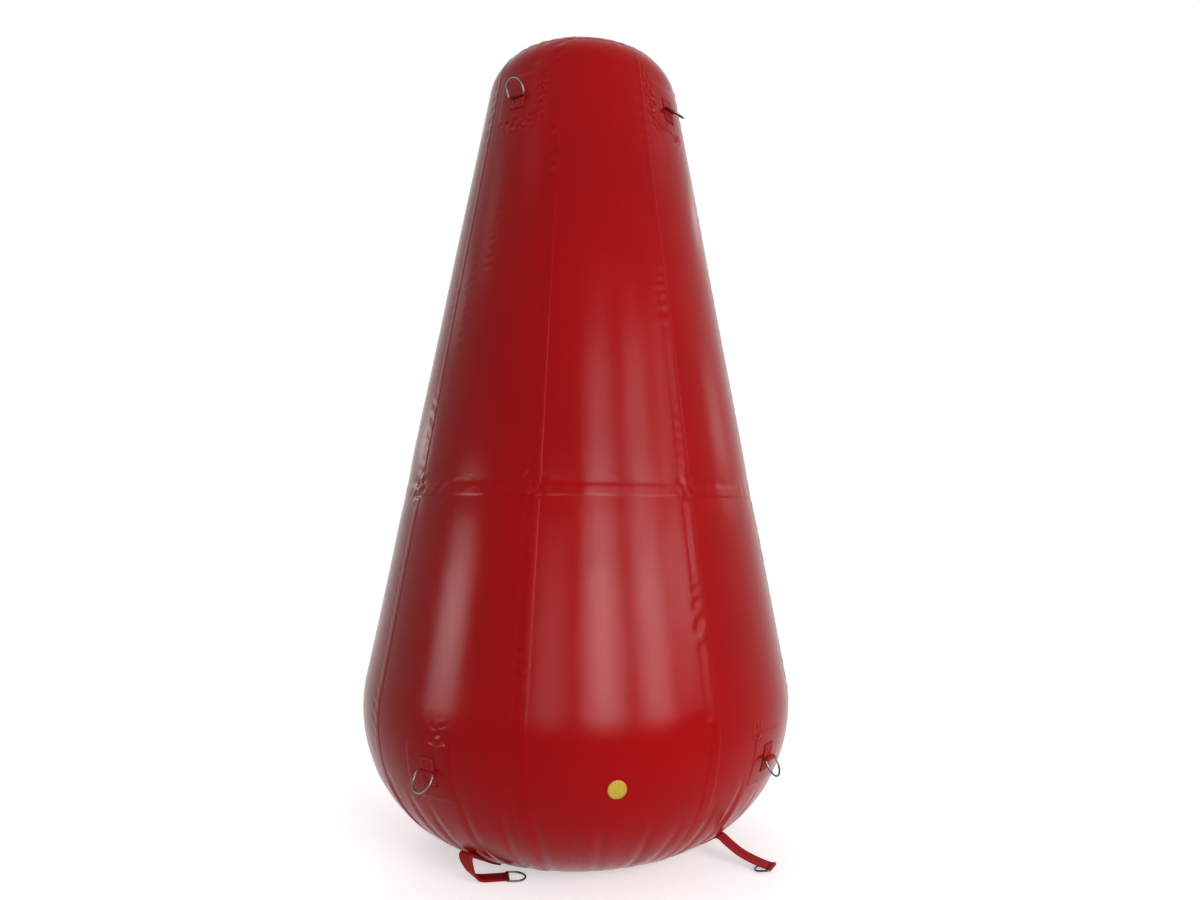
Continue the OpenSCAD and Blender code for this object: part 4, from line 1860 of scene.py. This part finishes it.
@dataclass(frozen=True)
class SoftBox:
    """Tall soft lamp that faces the body's axis."""

    name: str
    use: LampUse
    az: float
    width: float
    low: float
    high: float
    radiance: float
    distance: float = 4.6

    def build(self) -> None:
        """Make the lamp: its power is its radiance times its area times pi."""
        lamp = bpy.data.lights.new(self.name, "AREA")
        lamp.shape = "RECTANGLE"
        lamp.size, lamp.size_y = self.width, self.high - self.low
        lamp.energy = self.radiance * np.pi * self.width * (self.high - self.low)
        back = outward(np.array(self.az))
        right = sideways(np.array(self.az))
        place = back * self.distance + np.array([0.0, 0.0, (self.low + self.high) / 2])
        up = np.array([0.0, 0.0, 1.0])
        matrix = np.eye(4)
        matrix[:3, :3] = np.stack([right, up, back], axis=1)
        matrix[:3, 3] = place
        lamp_object = bpy.data.objects.new(self.name, lamp)
        lamp_object.matrix_world = Matrix(matrix.tolist())
        lamp_object.visible_diffuse = self.use is LampUse.FILL
        lamp_object.visible_glossy = self.use is LampUse.GLEAM
        bpy.context.scene.collection.objects.link(lamp_object)


@dataclass
class Studio:
    """Pale floor, white surroundings, soft lamps and the camera."""

    floor_size: float = 60.0
    floor_colour: Colour = (0.84, 0.84, 0.84)
    floor_roughness: float = 0.9
    floor_glow: float = 0.50
    fade_from: float = 0.7
    fade_to: float = 2.0
    ambient: float = 0.50
    focal_px: float = 870.0
    image_px: float = 1200.0
    sensor: float = 36.0
    camera_place: tuple[float, float, float] = (0.0, -2.5765, 0.9215)
    yaw: float = 1.3676
    pitch: float = 3.9569
    roll: float = 0.4739
    boxes: tuple[SoftBox, ...] = field(default_factory=lambda: (
        SoftBox("key", LampUse.FILL, 28.0, 2.60, 0.50, 3.10, 7.2),
        SoftBox("back_fill", LampUse.FILL, 200.0, 2.60, 0.50, 3.10, 5.0),
        SoftBox("low_left", LampUse.GLEAM, -68.5, 0.85, 0.85, 1.95, 22.0),
        SoftBox("low_mid_left", LampUse.GLEAM, -13.0, 0.75, 0.60, 2.10, 7.3),
        SoftBox("low_mid", LampUse.GLEAM, 12.5, 0.92, 1.00, 2.30, 27.5),
        SoftBox("low_mid_right", LampUse.GLEAM, 39.0, 0.72, 1.00, 2.30, 27.5),
        SoftBox("low_right", LampUse.GLEAM, 57.0, 0.58, 1.15, 2.30, 19.4),
        SoftBox("sill_left", LampUse.GLEAM, -68.5, 0.85, 0.35, 0.83, 9.5),
        SoftBox("sill_mid", LampUse.GLEAM, 12.5, 0.92, 0.45, 0.98, 9.7),
        SoftBox("sill_mid_right", LampUse.GLEAM, 39.0, 0.72, 0.45, 0.98, 8.9),
        SoftBox("high_mid", LampUse.GLEAM, 12.0, 0.92, 2.80, 3.50, 19.0),
        SoftBox("high_mid_right", LampUse.GLEAM, 39.0, 0.72, 2.80, 3.50, 22.5),
        SoftBox("high_right", LampUse.GLEAM, 60.0, 0.62, 2.80, 3.50, 13.5),
        SoftBox("far_right", LampUse.GLEAM, 109.0, 0.70, 1.90, 2.75, 3.6),
        SoftBox("rim_right", LampUse.GLEAM, 140.0, 1.00, 3.55, 3.90, 1.6),
        SoftBox("rim_left", LampUse.GLEAM, -126.0, 1.10, 1.72, 2.15, 4.0),
        SoftBox("seam_left_high", LampUse.GLEAM, -94.0, 0.40, 4.15, 4.65, 6.0),
        SoftBox("seam_left_low", LampUse.GLEAM, -118.0, 0.50, 3.10, 3.60, 3.0),
        SoftBox("patch_left", LampUse.GLEAM, -57.0, 0.35, 5.85, 6.60, 8.0),
        SoftBox("patch_right", LampUse.GLEAM, 94.0, 0.40, 5.35, 5.95, 4.5),
    ))

    def seen(self, tree: bpy.types.NodeTree) -> bpy.types.NodeSocket:
        """Share of what is seen: the sum of three kinds of ray, at most 1.

        Args:
            tree: node tree to add to.

        Returns:
            Socket that is 1 for rays from the camera, mirrors and glass, and 0 for light that spreads.
        """
        path = tree.nodes.new("ShaderNodeLightPath")
        total = path.outputs["Is Camera Ray"]
        for name in ("Is Glossy Ray", "Is Transmission Ray"):
            sum_node = tree.nodes.new("ShaderNodeMath")
            sum_node.operation, sum_node.use_clamp = "ADD", True
            tree.links.new(total, sum_node.inputs[0])
            tree.links.new(path.outputs[name], sum_node.inputs[1])
            total = sum_node.outputs[0]
        return total

    def surroundings(self) -> None:
        """White world for what is seen, and a dimmer even world for the light that it sheds."""
        world = bpy.data.worlds.new("studio_white")
        world.use_nodes = True
        tree = world.node_tree
        back = tree.nodes["Background"]
        level = tree.nodes.new("ShaderNodeMapRange")
        tree.links.new(self.seen(tree), level.inputs["Value"])
        level.inputs["To Min"].default_value = self.ambient
        level.inputs["To Max"].default_value = 1.0
        back.inputs["Color"].default_value = (1.0, 1.0, 1.0, 1.0)
        tree.links.new(level.outputs["Result"], back.inputs["Strength"])
        bpy.context.scene.world = world

    def floor(self) -> None:
        """Pale floor that keeps the shadow and fades into the white surroundings."""
        half = self.floor_size / 2
        side = np.linspace(-half, half, 2)
        x, y = np.meshgrid(side, side)
        sheet = Sheet(np.stack([x, y, np.zeros_like(x)], axis=-1), np.stack([x, y], axis=-1))
        floor = sheet.piece("floor")
        shading = Shading("pale_floor")
        places = shading.object_places()
        reach = shading.add("ShaderNodeVectorMath", {0: places}, operation="LENGTH").outputs["Value"]
        inputs = {"Value": reach, "From Min": self.fade_from, "From Max": self.fade_to}
        far = shading.add("ShaderNodeMapRange", inputs, interpolation_type="SMOOTHSTEP").outputs["Result"]
        glow = shading.math("MULTIPLY_ADD", far, 1.0 - self.floor_glow, self.floor_glow)
        shading.feed(shading.shader, {
            "Base Color": shading.mix(far, self.floor_colour, (0.0, 0.0, 0.0)),
            "Roughness": self.floor_roughness,
            "Specular IOR Level": 0.0, "Emission Color": (1.0, 1.0, 1.0, 1.0),
            "Emission Strength": shading.math("MULTIPLY", glow, self.seen(shading.tree))})
        floor.data.materials.append(shading.material)

    def camera(self) -> None:
        """Camera at the photograph's place: turned by yaw, then pitch, then roll."""
        yaw, pitch, roll = np.radians([self.yaw, self.pitch, self.roll])
        ahead = np.array([np.sin(yaw) * np.cos(pitch), np.cos(yaw) * np.cos(pitch), np.sin(pitch)])
        right = np.array([np.cos(yaw), -np.sin(yaw), 0.0])
        up = np.cross(right, ahead)
        matrix = np.eye(4)
        matrix[:3, 0] = right * np.cos(roll) + up * np.sin(roll)
        matrix[:3, 1] = up * np.cos(roll) - right * np.sin(roll)
        matrix[:3, 2] = -ahead
        matrix[:3, 3] = self.camera_place
        camera = bpy.data.objects.new("camera", bpy.data.cameras.new("camera"))
        camera.data.sensor_width = self.sensor
        camera.data.lens = self.focal_px / self.image_px * self.sensor
        camera.matrix_world = Matrix(matrix.tolist())
        bpy.context.scene.collection.objects.link(camera)
        bpy.context.scene.camera = camera

    def build(self) -> None:
        """Set the stage."""
        self.camera()
        self.surroundings()
        self.floor()
        for box in self.boxes:
            box.build()
        bpy.context.scene.view_settings.view_transform = "Standard"
        LOG.info("studio: camera, floor and %d lamps", len(self.boxes))


def main() -> None:
    """Build the studio and every sub-assembly, in order."""
    logging.basicConfig(level=logging.INFO, format="%(name)s: %(message)s")
    wardrobe = Wardrobe()
    Studio().build()
    for station in STATIONS:
        StrapTab(wardrobe, station).build()
        for tier in Tier:
            RingSeat(wardrobe, station, tier).build()
    Envelope(wardrobe).build()
    Valve(wardrobe).build()


if __name__ == "__main__":
    main()
